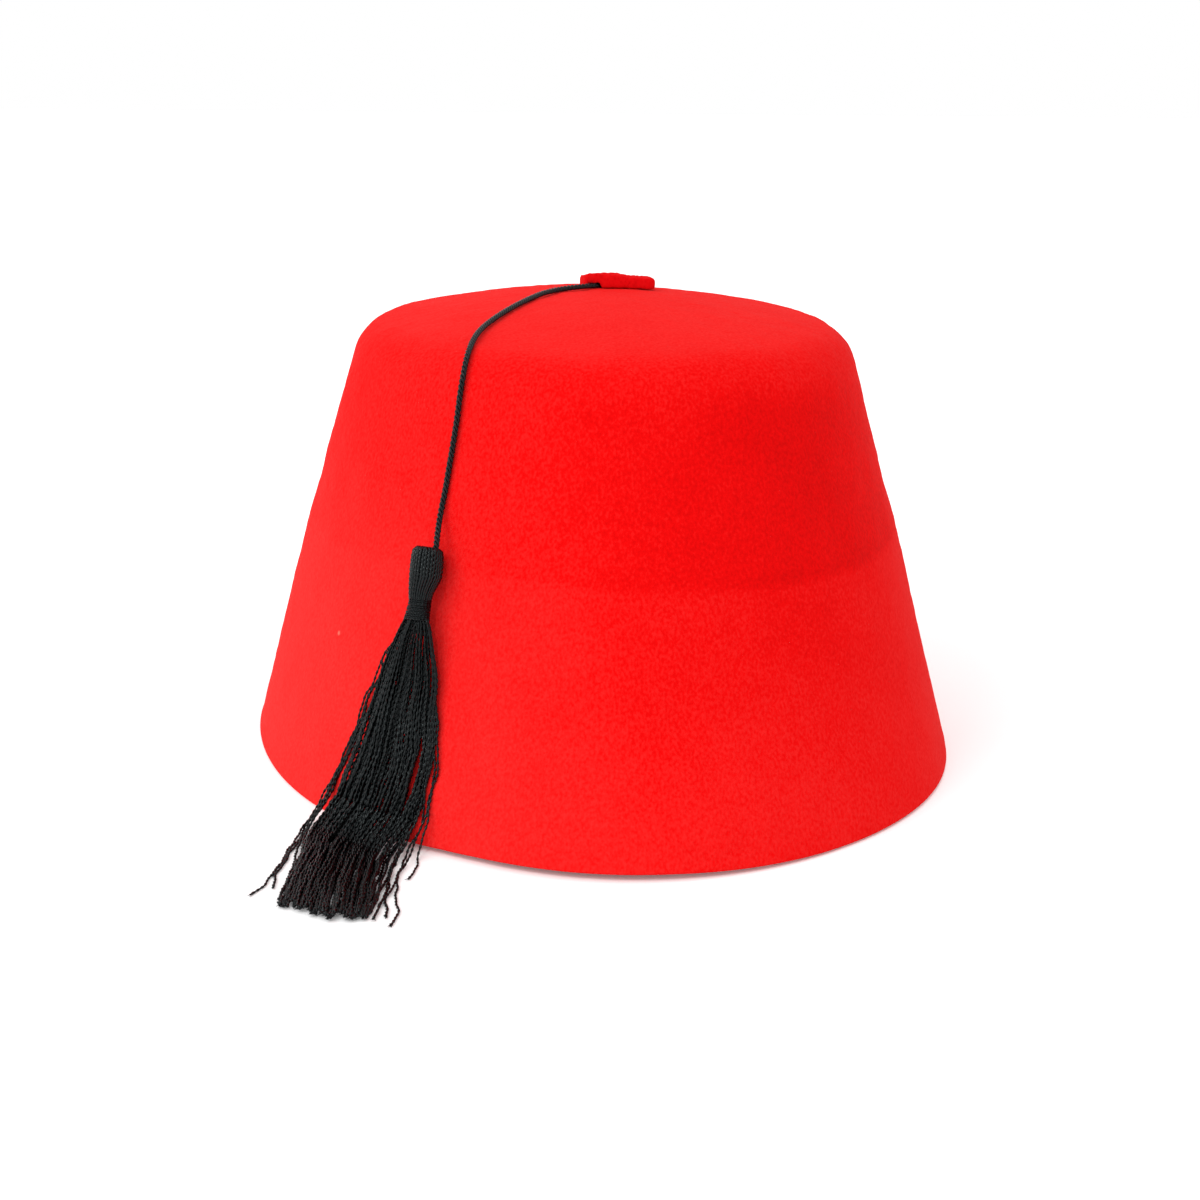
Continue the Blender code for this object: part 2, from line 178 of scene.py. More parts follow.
CORD_ROUTE = tuple(RoutePoint(*row) for row in (
    (0.055, 68.0, 0.0), (0.0445, 84.0, 0.0), (0.0365, 98.0, 0.0), (0.0332, 116.0, 0.0),
    (0.0335, 135.5, 0.0), (0.0405, 153.5, 0.0), (0.052, 167.5, 0.0), (0.070, 180.5, 0.0),
    (0.088, 190.8, 0.0), (0.108, 198.9, 0.0), (0.154, 211.7, 0.0), (0.200, 218.1, 0.0),
    (0.245, 222.1, 0.0), (0.286, 225.0, 0.0), (0.324, 227.9, 0.0), (0.359, 230.5, 0.0),
    (0.378, 231.4, 0.0), (0.399, 232.0, 0.0), (0.419, 232.1, 0.0), (0.443, 232.2, 0.0),
    (0.477, 232.2, 0.0), (0.509, 232.1, 0.0), (0.540, 232.0, 0.0), (0.568, 232.0, 0.1),
    (0.583, 232.4, 0.33), (0.598, 233.0, 0.63), (0.611, 233.6, 0.88), (0.622, 233.9, 1.0),
))

HEAD_ROWS = tuple(HeadRow(*row) for row in (
    (-0.090, 0.0, 0.35), (-0.095, 2.5, 0.35), (-0.065, 3.25, 0.35), (0.0, 3.50, 0.30),
    (0.10, 3.58, 0.20), (0.21, 3.60, 0.10), (0.30, 3.52, 0.05), (0.43, 3.05, 0.40),
    (0.53, 2.68, 0.62), (0.62, 2.52, 0.58),
))

NECK_ROWS = tuple(HeadRow(*row) for row in (
    (0.60, 2.32, 0.58), (0.70, 2.30, 0.52), (0.80, 2.55, 0.62), (0.93, 2.95, 0.70),
))

SKIRT_ROWS = tuple(SkirtRow(*row) for row in (
    (0.740, 228.2, 235.3, 0.0024), (0.780, 225.9, 236.2, 0.0012),
    (0.830, 224.2, 236.2, 0.0004), (0.880, 221.8, 236.7, 0.0), (0.925, 219.8, 236.7, 0.0),
    (0.965, 218.4, 236.5, 0.0),
))

FLOOR_ROWS = tuple(FloorRow(*row) for row in (
    (-1.0, 0.0470, 255.1, 0.30), (-0.75, 0.0456, 255.1, 0.75),
    (-0.5, 0.0441, 255.0, 0.95), (0.0, 0.0425, 254.4, 1.0), (0.5, 0.0380, 253.2, 0.90),
    (0.75, 0.0360, 251.3, 0.70), (1.0, 0.0335, 248.3, 0.30),
))

CROWD_ROWS = tuple(CrowdRow(*row) for row in (
    (0.0, -1.0, 1.0), (0.25, -0.97, 1.0), (0.36, -0.76, 0.99), (0.47, -0.70, 0.92),
    (0.58, -0.74, 0.82), (0.68, -0.83, 0.73), (0.79, -0.88, 0.68), (0.88, -0.96, 0.70),
    (1.0, -1.0, 0.76),
))

RIM_ROWS = tuple(RimRow(*row) for row in (
    (-146.0, 0.0, 0.0), (-134.0, 0.0, 0.6), (-121.0, 0.0, 1.25), (-116.0, 0.5, 1.4),
    (-110.0, 1.6, 1.5), (-104.0, 2.5, 1.5), (-98.0, 3.0, 1.5), (-92.0, 3.0, 1.4),
    (-86.0, 2.8, 1.1), (-80.0, 2.35, 0.8), (-74.0, 1.8, 0.5), (-68.0, 1.35, 0.35),
    (-62.0, 1.15, 0.3), (-50.0, 1.1, 0.4), (-42.0, 0.85, 0.35), (-34.0, 0.4, 0.15),
    (-26.0, 0.0, 0.0),
))

STRAY_ROWS = tuple(
    StrayRow(thickness, tuple(WallPlace(*place) for place in wall),
             tuple(FloorPlace(*place) for place in floor))
    for thickness, wall, floor in (
        (0.62, ((0.745, 228.1), (0.770, 225.9), (0.802, 224.2), (0.825, 222.9),
                (0.871, 221.5), (0.913, 220.0), (0.949, 218.5)),
         ((-79.7, -67.8), (-83.6, -80.7), (-86.1, -88.7), (-88.8, -95.0), (-90.5, -97.5))),
        (0.70, ((0.757, 226.7), (0.797, 225.2), (0.823, 223.7), (0.862, 222.6),
                (0.901, 221.0), (0.942, 219.5)),
         ((-78.9, -69.6), (-81.9, -77.6), (-84.9, -87.4), (-86.2, -94.8))),
        (0.66, ((0.745, 227.9), (0.790, 225.6), (0.840, 222.9), (0.890, 221.4),
                (0.940, 219.2)),
         ((-79.2, -69.0), (-83.0, -79.5), (-86.0, -88.9))),
        (0.66, ((0.732, 234.0), (0.806, 235.9), (0.881, 236.8), (0.945, 236.7)),
         ((-57.9, -84.5), (-60.0, -92.9), (-61.2, -100.0), (-61.8, -110.6),
          (-63.3, -116.0))),
        (0.74, ((0.732, 234.0), (0.806, 235.9), (0.882, 236.2), (0.945, 235.6)),
         ((-60.5, -87.2), (-63.0, -99.7), (-64.2, -112.0))),
        (0.60, ((0.731, 234.2), (0.806, 236.0), (0.880, 237.3), (0.933, 237.0)),
         ((-55.4, -86.2), (-56.4, -90.3), (-57.8, -95.1))),
    ))


def linear(colour: str) -> tuple[float, float, float, float]:
    """Turn an sRGB hex colour to linear light.

    Args:
        colour: Six hex digits.

    Returns:
        Red, green, blue and an alpha of one.
    """
    channels = [int(colour[place:place + 2], 16) / 255 for place in (0, 2, 4)]
    red, green, blue = (value / 12.92 if value < 0.04045 else ((value + 0.055) / 1.055) ** 2.4
                        for value in channels)
    return red, green, blue, 1.0


def add_node(tree: bpy.types.NodeTree, kind: str, settings: Optional[dict[Any, Any]] = None,
             links: Optional[dict[Any, Any]] = None) -> bpy.types.Node:
    """Add a shader node with its settings and links.

    Args:
        tree: The material's node tree.
        kind: The node's type.
        settings: Values by socket name, socket number or property name.
        links: Output sockets by the name or number of the input that they feed.

    Returns:
        The new node.
    """
    node = tree.nodes.new(kind)
    for key, value in (settings or {}).items():
        if isinstance(key, int) or key in node.inputs:
            node.inputs[key].default_value = value
        else:
            setattr(node, key, value)
    for key, source in (links or {}).items():
        tree.links.new(source, node.inputs[key])
    return node


def new_material(name: str, values: dict[str, Any]) -> tuple[
        bpy.types.Material, bpy.types.NodeTree, bpy.types.Node]:
    """Make a material and set its shader's own sockets.

    Args:
        name: The material's name.
        values: The sockets' values by name.

    Returns:
        The material, its node tree and its shader.
    """
    material = bpy.data.materials.new(name)
    material.use_nodes = True
    shader = material.node_tree.nodes["Principled BSDF"]
    for socket, value in values.items():
        shader.inputs[socket].default_value = value
    return material, material.node_tree, shader


def put_in_scene(name: str, data: bpy.types.ID) -> bpy.types.Object:
    """Make an object of its data and link it to the scene."""
    thing = bpy.data.objects.new(name, data)
    bpy.context.scene.collection.objects.link(thing)
    return thing


def smooth(value: Array, start: float, end: float) -> Array:
    """Return a smooth step from 0 at start to 1 at end."""
    part = np.clip((np.asarray(value, float) - start) / (end - start), 0.0, 1.0)
    return part * part * (3 - 2 * part)


def unit(vectors: Array) -> Array:
    """Scale vectors to a length of one."""
    return vectors / np.linalg.norm(vectors, axis=-1, keepdims=True)


def wave(turns: Array) -> Array:
    """Return a sine wave at a number of turns."""
    return np.sin(2 * math.pi * turns)


def even_turns(count: int) -> Array:
    """Return even angles round a circle."""
    return np.arange(count) * 2 * math.pi / count


def ripple(points: Array, wavelength: float, seed: int, waves: int = 24,
           spread: tuple[float, float] = (0.7, 1.3)) -> Array:
    """Sum seeded plane waves of nearly one wavelength into an even, random relief.

    Args:
        points: Places in metres, with the three coordinates last.
        wavelength: Mean distance between crests, in metres.
        seed: Seed of the directions and phases.
        waves: How many waves are summed.
        spread: Least and most of a wave's pace, as shares of the mean.

    Returns:
        Heights with a spread of about one.
    """
    rng = np.random.default_rng(seed)
    pulls = unit(rng.normal(size=(waves, 3))) * 2 * math.pi / wavelength
    pulls *= rng.uniform(*spread, (waves, 1))
    phases = rng.uniform(0, 2 * math.pi, waves)
    return np.sin(points @ pulls.T + phases).sum(axis=-1) * math.sqrt(2 / waves)


def line_length(line: Array) -> float:
    """Return the length of a polyline."""
    return float(np.linalg.norm(np.diff(line, axis=0), axis=1).sum())


def distances(line: Array) -> Array:
    """Return the distance walked to each point of a polyline."""
    steps = np.linalg.norm(np.diff(line, axis=0), axis=1)
    return np.concatenate([[0.0], np.cumsum(steps)])


def directions(line: Array, ups: Array) -> tuple[Array, Array, Array]:
    """Return the directions along a polyline and across it.

    Args:
        line: The polyline.
        ups: A direction roughly across it at each point.

    Returns:
        The direction along the line, the one to its side, and the one square to both.
    """
    slopes = unit(np.gradient(line, axis=0))
    side = unit(np.cross(slopes, ups))
    return slopes, side, np.cross(side, slopes)


def smooth_curve(points: Array, steps: int = 12) -> Array:
    """Return close points on a smooth curve through the given ones.

    Args:
        points: The route's points, in order.
        steps: How many points a stretch between two given points gets.

    Returns:
        The points of each stretch, and the last point.
    """
    points = np.asarray(points, float)
    before = np.concatenate([points[:1], points[:-1]])
    after = np.concatenate([points[1:], points[-1:]])
    slopes = unit(after - before)
    start, end = points[:-1, None], points[1:, None]
    handle = np.linalg.norm(end - start, axis=-1, keepdims=True) / 3
    first = start + slopes[:-1, None] * handle
    second = end - slopes[1:, None] * handle
    part = np.linspace(0, 1, steps, endpoint=False)[None, :, None]
    rest = 1 - part
    dense = rest ** 3 * start + 3 * rest ** 2 * part * first
    dense = dense + 3 * rest * part ** 2 * second + part ** 3 * end
    return np.concatenate([dense.reshape(-1, 3), points[-1:]])


def walk(line: Array, count: int) -> Array:
    """Return points at even steps along a polyline, its ends among them.

    Args:
        line: The polyline.
        count: How many points are wanted.

    Returns:
        The points.
    """
    walked = distances(line)
    places = np.linspace(0.0, walked[-1], count)
    return np.stack([np.interp(places, walked, line[:, axis]) for axis in range(3)], axis=1)


class Section(NamedTuple):
    """The crown's outline in section, from the middle of the top to the rim."""

    rim_radius: float
    dome_radius: float
    dome_centre: float
    dome_turn: float
    shoulder_x: float
    shoulder_z: float
    wall_turn: float
    dome_share: float
    wall_share: float
    length: float


@dataclass(frozen=True)
class CrownShape:
    """The crown's surface: an oval cone with a low dome and a pressed step.

    A share runs from 0 at the middle of the top to 1 at the rim, along the felt.
    """

    height: float = 0.110
    rim_width: float = 0.176
    rim_length: float = 0.204
    top_width: float = 0.1192
    top_length: float = 0.1348
    dome_rise: float = 0.0079
    shoulder_radius: float = 0.0124
    thickness: float = 0.0025
    step_height: float = 0.0565
    step_depth: float = 0.0004
    step_blend: float = 0.009
    step_wave: float = 0.0012
    step_waves: int = 3
    clearance: float = 0.0003

    @cached_property
    def section(self) -> Section:
        """Join the dome's arc and the wall's line by the shoulder's arc."""
        rim = (self.rim_width + self.rim_length) / 4
        top = (self.top_width + self.top_length) / 4
        dome = (top * top + self.dome_rise ** 2) / (2 * self.dome_rise)
        centre = self.height - dome
        slope = unit(np.array([top - rim, self.height - self.dome_rise]))
        inward = np.array([-slope[1], slope[0]])
        start = np.array([rim, -centre]) + inward * self.shoulder_radius
        along = float(start @ slope)
        reach = along * along - float(start @ start) + (dome - self.shoulder_radius) ** 2
        shoulder = start + slope * (math.sqrt(reach) - along)
        dome_turn = math.atan2(shoulder[0], shoulder[1])
        wall_turn = math.atan2(-inward[0], -inward[1])
        wall = float(np.linalg.norm(shoulder - inward * self.shoulder_radius - [rim, -centre]))
        length = dome * dome_turn + self.shoulder_radius * (wall_turn - dome_turn) + wall
        return Section(rim, dome, centre, dome_turn, float(shoulder[0]),
                       float(shoulder[1]) + centre, wall_turn, dome * dome_turn / length,
                       1 - wall / length, length)

    def meridian(self, share: Array, inset: Array = 0.0) -> tuple[Array, Array]:
        """Return radius and height at a share of the way down.

        Args:
            share: Share of the way down.
            inset: Distance into the felt from its outer face.

        Returns:
            The mean radius and the height.
        """
        cut = self.section
        share = np.asarray(share, float)
        part = np.clip((share - cut.dome_share) / (cut.wall_share - cut.dome_share), 0.0, 1.0)
        on_dome = share < cut.dome_share
        bend = cut.dome_turn + (cut.wall_turn - cut.dome_turn) * part
        turn = np.where(on_dome, cut.dome_turn * share / cut.dome_share, bend)
        arm = np.where(on_dome, cut.dome_radius, self.shoulder_radius) - inset
        radius = np.where(on_dome, 0.0, cut.shoulder_x) + arm * np.sin(turn)
        height = np.where(on_dome, cut.dome_centre, cut.shoulder_z) + arm * np.cos(turn)
        down = np.maximum((share - cut.wall_share) / (1 - cut.wall_share), 0.0)
        rim = cut.rim_radius - inset / math.sin(cut.wall_turn)
        return radius + (rim - radius) * down, height * (1 - down)

    def share_at(self, height: Array) -> Array:
        """Return the share of the way down at which the wall has this height."""
        top = float(self.meridian(self.section.wall_share)[1])
        return self.section.wall_share + (1 - self.section.wall_share) * (top - height) / top

    def step_edge(self, bearing: Array) -> Array:
        """Return the height of the pressed step, which wanders round the crown."""
        return self.step_height + self.step_wave * np.cos(self.step_waves * bearing)

    def step_out(self, height: Array, bearing: Array) -> Array:
        """Return how far the felt stands out at the pressed step."""
        edge = self.step_edge(bearing)
        below = np.clip(height / edge, 0.0, 1.0)
        above = 1 - smooth(height - edge, 0.0, self.step_blend)
        return self.step_depth * below * above

    def oval(self, height: Array, bearing: Array) -> Array:
        """Return how much the plan is stretched at a bearing in radians."""
        rim = (self.rim_width - self.rim_length) / (self.rim_width + self.rim_length)
        top = (self.top_width - self.top_length) / (self.top_width + self.top_length)
        return 1 + (rim + (top - rim) * height / self.height) * np.cos(2 * bearing)

    def point(self, share: Array, bearing: Array, inset: Array = 0.0,
              stepped: bool = True) -> Array:
        """Return points of the surface.

        Args:
            share: Share of the way down.
            bearing: Bearing in radians.
            inset: Distance into the felt from its outer face.
            stepped: Whether the pressed step is added.

        Returns:
            The points, with the three coordinates last.
        """
        radius, height = self.meridian(share, inset)
        if stepped:
            radius = radius + self.step_out(height, bearing)
        radius = radius * self.oval(height, bearing)
        parts = (radius * np.cos(bearing), radius * np.sin(bearing), height)
        return np.stack(np.broadcast_arrays(*parts), axis=-1)

    def normal(self, share: Array, bearing: Array) -> Array:
        """Return the outward direction, leaving out the small step."""
        small = 0.001
        low = self.point(share + small, bearing, stepped=False)
        high = self.point(share - small, bearing, stepped=False)
        left = self.point(share, bearing + small, stepped=False)
        right = self.point(share, bearing - small, stepped=False)
        return unit(np.cross(low - high, left - right))

    def stand_off(self, share: Array, degrees: Array, lift: Array) -> tuple[Array, Array]:
        """Return points that stand off the felt, and the directions out of it.

        Args:
            share: Share of the way down.
            degrees: Bearing in degrees.
            lift: Distance off the felt.

        Returns:
            The points and the outward directions.
        """
        bearing = np.radians(degrees)
        normal = self.normal(share, bearing)
        return self.point(share, bearing) + normal * np.asarray(lift)[..., None], normal

    def push_out(self, points: Array, gap: Array, floor_gap: Array) -> Array:
        """Move points clear of the wall and of the floor.

        Args:
            points: The points.
            gap: Least distance off the wall.
            floor_gap: Least height.

        Returns:
            The moved points.
        """
        height = np.maximum(points[..., 2], floor_gap)
        bearing = np.arctan2(points[..., 1], points[..., 0])
        wall = self.point(self.share_at(height), bearing)
        need = np.hypot(wall[..., 0], wall[..., 1]) + gap / math.sin(self.section.wall_turn)
        have = np.hypot(points[..., 0], points[..., 1])
        on_wall = points[..., 2] < float(self.meridian(self.section.wall_share)[1])
        grow = np.where(on_wall, np.maximum(1.0, need / have), 1.0)
        return np.stack([points[..., 0] * grow, points[..., 1] * grow, height], axis=-1)


@dataclass
class Skin:
    """Points, faces and a tone for each point, gathered for one mesh."""

    points: list[Array] = field(default_factory=list)
    tones: list[Array] = field(default_factory=list)
    faces: list[tuple[int, ...]] = field(default_factory=list)
    count: int = 0

    def add_points(self, points: Array, tone: Array) -> int:
        """Add points with their tone or tones and return the first one's number."""
        first = self.count
        self.points.append(points.reshape(-1, 3))
        self.tones.append(np.broadcast_to(tone, points.shape[:-1]).reshape(-1))
        self.count += len(self.points[-1])
        return first

    def add_rings(self, rings: Array, tone: Array = EVEN_TONE) -> Array:
        """Join closed rings of equal counts by quads.

        Args:
            rings: An array of rings, points and coordinates.
            tone: Tone of all the points, or of each.

        Returns:
            The points' numbers, a row for each ring.
        """
        first = self.add_points(rings, tone)
        numbers = first + np.arange(rings.shape[0] * rings.shape[1]).reshape(rings.shape[:2])
        after = np.roll(numbers, -1, axis=1)
        quads = np.stack([numbers[:-1], after[:-1], after[1:], numbers[1:]], axis=-1)
        self.faces += [tuple(quad) for quad in quads.reshape(-1, 4).tolist()]
        return numbers

    def add_fan(self, ring: Array, pole: Array, tone: float, outward: bool) -> None:
        """Close a ring to a pole by triangles.

        Args:
            ring: Numbers of the ring's points.
            pole: The pole's place.
            tone: Tone of the pole.
            outward: Whether the triangles follow the ring's own turn.
        """
        tip = self.add_points(np.asarray(pole, float), tone)
        after = np.roll(ring, -1)
        for one, two in zip(ring.tolist(), after.tolist()):
            self.faces.append((tip, one, two) if outward else (tip, two, one))

    def add_strand(self, line: Array, ups: Array, radii: Array, tone: float,
                   lobe: float = 0.0, pitch: float = 1.0, sides: int = 8,
                   turn: float = 0.0) -> None:
        """Add one closed strand, whose section may be a twisted two-lobed one.

        Args:
            line: The centreline's points.
            ups: A direction across the strand at each point.
            radii: Radius at each point.
            tone: Tone of the strand.
            lobe: How far the two plies stand out, as a share of the radius.
            pitch: Length of one full twist.
            sides: Points round the section.
            turn: Angle at which the twist starts.
        """
        slopes, side, over = directions(line, ups)
        round_it = even_turns(sides)
        angle = round_it[None, :] + (turn + 2 * math.pi * distances(line) / pitch)[:, None]
        reach = radii[:, None] * (1 + lobe * np.cos(2 * round_it))[None, :] / (1 + lobe)
        rings = line[:, None] + reach[..., None] * (
            np.cos(angle)[..., None] * side[:, None] + np.sin(angle)[..., None] * over[:, None])
        numbers = self.add_rings(rings, tone)
        nose = 0.6
        self.add_fan(numbers[0], line[0] - slopes[0] * radii[0] * nose, tone, False)
        self.add_fan(numbers[-1], line[-1] + slopes[-1] * radii[-1] * nose, tone, True)

    def build(self, name: str, material: bpy.types.Material, slot: Slot,
              replaced: Sequence[str] = ()) -> bpy.types.Object:
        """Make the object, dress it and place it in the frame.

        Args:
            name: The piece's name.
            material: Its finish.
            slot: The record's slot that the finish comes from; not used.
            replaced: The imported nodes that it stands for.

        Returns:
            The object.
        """
        mesh = bpy.data.meshes.new(name)
        mesh.from_pydata(np.concatenate(self.points).tolist(), [], self.faces)
        tone = mesh.attributes.new("tone", "FLOAT", "POINT")
        tone.data.foreach_set("value", np.concatenate(self.tones).astype(np.float32))
        mesh.shade_smooth()
        mesh.materials.append(material)
        thing = put_in_scene(name, mesh)
        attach(thing, BODY)
        if replaced:
            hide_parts(*replaced)
        triangles = sum(len(face) - 2 for face in self.faces)
        log.info("%s: %d points, %d triangles", name, self.count, triangles)
        return thing


@dataclass(frozen=True)
class WoolFelt:
    """Wool felt, blocked to shape and brushed: matt, with a soft pile of fine fibres.

    The eye sees a saturated dye, pits and tufts about a millimetre apart, and a pale veil
    where the pile is seen edge on. Its deepest red serves both the pits and painted shade,
    and its palest both the tufts that stand up and painted sheen.
    """

    name: str
    pit_and_shade: str = "B60203"
    dyed: str = "D80607"
    raised_and_sheen: str = "E42C2A"
    tuft_mm: float = 0.62
    patch_mm: float = 17.0
    fibre_mm: float = 0.30
    relief_mm: float = 0.10
    tuft_swing: float = 0.17
    patch_swing: float = 0.05
    noise_band: tuple[float, float] = (0.3, 0.7)
    dyed_tone: float = 0.5
    raised_and_sheen_tone: float = 1.25
    brushing: float = 0.7
    fibre_share: float = 0.45
    roughness: float = 0.95
    specular: float = 0.03
    sheen: float = 0.028
    sheen_colour: str = "FFB8B0"
    sheen_roughness: float = 0.5
    lint_place: Optional[tuple[float, float, float]] = None
    lint_mm: float = 0.75
    lint_core: float = 0.4
    lint_colour: str = "FF6456"

    def make(self) -> bpy.types.Material:
        """Build the felt's shader."""
        material, tree, shader = new_material(self.name, {
            "Roughness": self.roughness, "Specular IOR Level": self.specular,
            "Sheen Weight": self.sheen, "Sheen Roughness": self.sheen_roughness,
            "Sheen Tint": linear(self.sheen_colour)})
        place = add_node(tree, "ShaderNodeTexCoord").outputs["Object"]
        # On the crown the tone attribute carries painted light and shade
        painted_light_tone = add_node(tree, "ShaderNodeAttribute", {"attribute_name": "tone"}).outputs["Fac"]
        # Brushing draws the tufts out a little down the wall
        brushed = add_node(tree, "ShaderNodeMapping", {"Scale": (1.0, 1.0, self.brushing)},
                           {"Vector": place}).outputs["Vector"]
        tufts = add_node(tree, "ShaderNodeTexNoise",
                         {"Scale": 1 / (self.tuft_mm * MM), "Detail": 1.5, "Roughness": 0.5},
                         {"Vector": brushed}).outputs["Fac"]
        # Single wool fibres are 0.03 mm across, too fine to show, so they are drawn coarser
        fibres = add_node(tree, "ShaderNodeTexNoise",
                          {"Scale": 1 / (self.fibre_mm * MM), "Detail": 2.0, "Roughness": 0.6},
                          {"Vector": brushed}).outputs["Fac"]
        patches = add_node(tree, "ShaderNodeTexNoise",
                           {"Scale": 1 / (self.patch_mm * MM), "Detail": 2.0},
                           {"Vector": place}).outputs["Fac"]
        low, high = self.noise_band
        swings = [add_node(tree, "ShaderNodeMapRange",
                           {"From Min": low, "From Max": high, "To Min": -size, "To Max": size},
                           {"Value": source}).outputs["Result"]
                  for source, size in ((tufts, self.tuft_swing), (patches, self.patch_swing))]
        swing = add_node(tree, "ShaderNodeMath", {"operation": "ADD"},
                         dict(enumerate(swings))).outputs["Value"]
        depth = add_node(tree, "ShaderNodeMath", {"operation": "ADD"},
                         {0: painted_light_tone, 1: swing}).outputs["Value"]
        # The deepest red also gives painted shade, and the palest red also painted sheen
        out_of_pit_and_shade, out_of_dye = (
            add_node(tree, "ShaderNodeMapRange", {"From Min": start, "From Max": end},
                     {"Value": depth}).outputs["Result"]
            for start, end in ((0.0, self.dyed_tone), (self.dyed_tone, self.raised_and_sheen_tone)))
        colour = add_node(tree, "ShaderNodeMix",
                          {"data_type": "RGBA", 6: linear(self.pit_and_shade), 7: linear(self.dyed)},
                          {0: out_of_pit_and_shade}).outputs[2]
        colour = add_node(tree, "ShaderNodeMix", {"data_type": "RGBA", 7: linear(self.raised_and_sheen)},
                          {0: out_of_dye, 6: colour}).outputs[2]
        if self.lint_place:
            colour = self.add_lint(tree, place, colour)
        height = add_node(tree, "ShaderNodeMath",
                          {"operation": "MULTIPLY_ADD", 1: self.fibre_share},
                          {0: fibres, 2: tufts}).outputs["Value"]
        bump = add_node(tree, "ShaderNodeBump",
                        {"Strength": 1.0, "Distance": self.relief_mm * MM}, {"Height": height})
        tree.links.new(colour, shader.inputs["Base Color"])
        tree.links.new(bump.outputs["Normal"], shader.inputs["Normal"])
        return material

    def add_lint(self, tree: bpy.types.NodeTree, place: bpy.types.NodeSocket,
                 colour: bpy.types.NodeSocket) -> bpy.types.NodeSocket:
        """Paint the speck of pale lint that is caught in the pile.

        Args:
            tree: The material's node tree.
            place: The object coordinates.
            colour: The felt's colour.

        Returns:
            The colour with the speck.
        """
        away = add_node(tree, "ShaderNodeVectorMath",
                        {"operation": "DISTANCE", 1: self.lint_place},
                        {0: place}).outputs["Value"]
        edge = self.lint_mm * MM
        cover = add_node(tree, "ShaderNodeMapRange",
                         {"From Min": edge, "From Max": edge * self.lint_core},
                         {"Value": away}).outputs["Result"]
        return add_node(tree, "ShaderNodeMix",
                        {"data_type": "RGBA", 7: linear(self.lint_colour)},
                        {0: cover, 6: colour}).outputs[2]


@dataclass(frozen=True)
class ViscoseThread:
    """Black viscose thread, twisted and dyed: dark, with a soft silky glint.

    The eye sees near black with grey glints along the plies, which differ a little from
    thread to thread.
    """

    name: str
    deep: str = "020203"
    worn: str = "0D0F12"
    glint: str = "F0FFFF"
    roughness: float = 0.20
    roughness_swing: float = 0.08
    specular: float = 0.26
    fibre_mm: float = 0.22
    relief_mm: float = 0.05

    def make(self) -> bpy.types.Material:
        """Build the thread's shader."""
        material, tree, shader = new_material(self.name, {
            "Specular IOR Level": self.specular, "Specular Tint": linear(self.glint)})
        place = add_node(tree, "ShaderNodeTexCoord").outputs["Object"]
        tone = add_node(tree, "ShaderNodeAttribute", {"attribute_name": "tone"}).outputs["Fac"]
        # Filaments are 0.02 mm across, too fine to show, so they are drawn coarser
        fibres = add_node(tree, "ShaderNodeTexNoise",
                          {"Scale": 1 / (self.fibre_mm * MM), "Detail": 2.0},
                          {"Vector": place}).outputs["Fac"]
        blend = add_node(tree, "ShaderNodeMath", {"operation": "MULTIPLY", "use_clamp": True},
                         {0: fibres, 1: tone}).outputs["Value"]
        colour = add_node(tree, "ShaderNodeMix",
                          {"data_type": "RGBA", 6: linear(self.deep), 7: linear(self.worn)},
                          {0: blend}).outputs[2]
        gloss = add_node(tree, "ShaderNodeMapRange",
                         {"To Min": self.roughness - self.roughness_swing,
                          "To Max": self.roughness + self.roughness_swing},
                         {"Value": fibres}).outputs["Result"]
        bump = add_node(tree, "ShaderNodeBump",
                        {"Strength": 0.8, "Distance": self.relief_mm * MM}, {"Height": fibres})
        tree.links.new(colour, shader.inputs["Base Color"])
        tree.links.new(gloss, shader.inputs["Roughness"])
        tree.links.new(bump.outputs["Normal"], shader.inputs["Normal"])
        return material


@dataclass(frozen=True)
class OpalAcrylic:
    """Cast opal acrylic, matt, on a light table: white, with next to no shadow on it."""

    name: str
    colour: str = "F6F6F6"
    shade: str = "F2F2F2"
    mottle_mm: float = 60.0
    roughness: float = 0.8
    specular: float = 0.1
    glow: float = 0.10

    def make(self) -> bpy.types.Material:
        """Build the acrylic's shader."""
        material, tree, shader = new_material(self.name, {
            "Roughness": self.roughness, "Specular IOR Level": self.specular,
            "Emission Color": linear(WHITE), "Emission Strength": self.glow})
        place = add_node(tree, "ShaderNodeTexCoord").outputs["Object"]
        mottle = add_node(tree, "ShaderNodeTexNoise", {"Scale": 1 / (self.mottle_mm * MM)},
                          {"Vector": place}).outputs["Fac"]
        colour = add_node(tree, "ShaderNodeMix",
                          {"data_type": "RGBA", 6: linear(self.shade), 7: linear(self.colour)},
                          {0: mottle}).outputs[2]
        tree.links.new(colour, shader.inputs["Base Color"])
        return material


@dataclass
class PhotoCamera:
    """The camera at the photograph's place and angle; angles are in degrees."""

    place: tuple[float, float, float] = (-0.0850, -0.4419, 0.1635)
    heading: float = 10.894
    tilt: float = 16.444
    roll: float = 0.745
    lens: float = 54.3
    sensor: float = 36.0

    def build(self) -> bpy.types.Object:
        """Make the camera and set it."""
        heading = math.radians(self.heading)
        tilt = math.radians(self.tilt)
        roll = math.radians(self.roll)
        look = Vector((math.sin(heading) * math.cos(tilt), math.cos(heading) * math.cos(tilt),
                       -math.sin(tilt)))
        right = look.cross(Vector(UP)).normalized()
        above = right.cross(look)
        across = right * math.cos(roll) + above * math.sin(roll)
        upward = above * math.cos(roll) - right * math.sin(roll)
        data = bpy.data.cameras.new("photo_camera")
        data.lens = self.lens
        data.sensor_width = self.sensor
        data.clip_start = 0.01
        camera = put_in_scene("photo_camera", data)
        turn = Matrix((across, upward, -look)).transposed().to_4x4()
        camera.matrix_world = Matrix.Translation(self.place) @ turn
        bpy.context.scene.camera = camera
        return camera


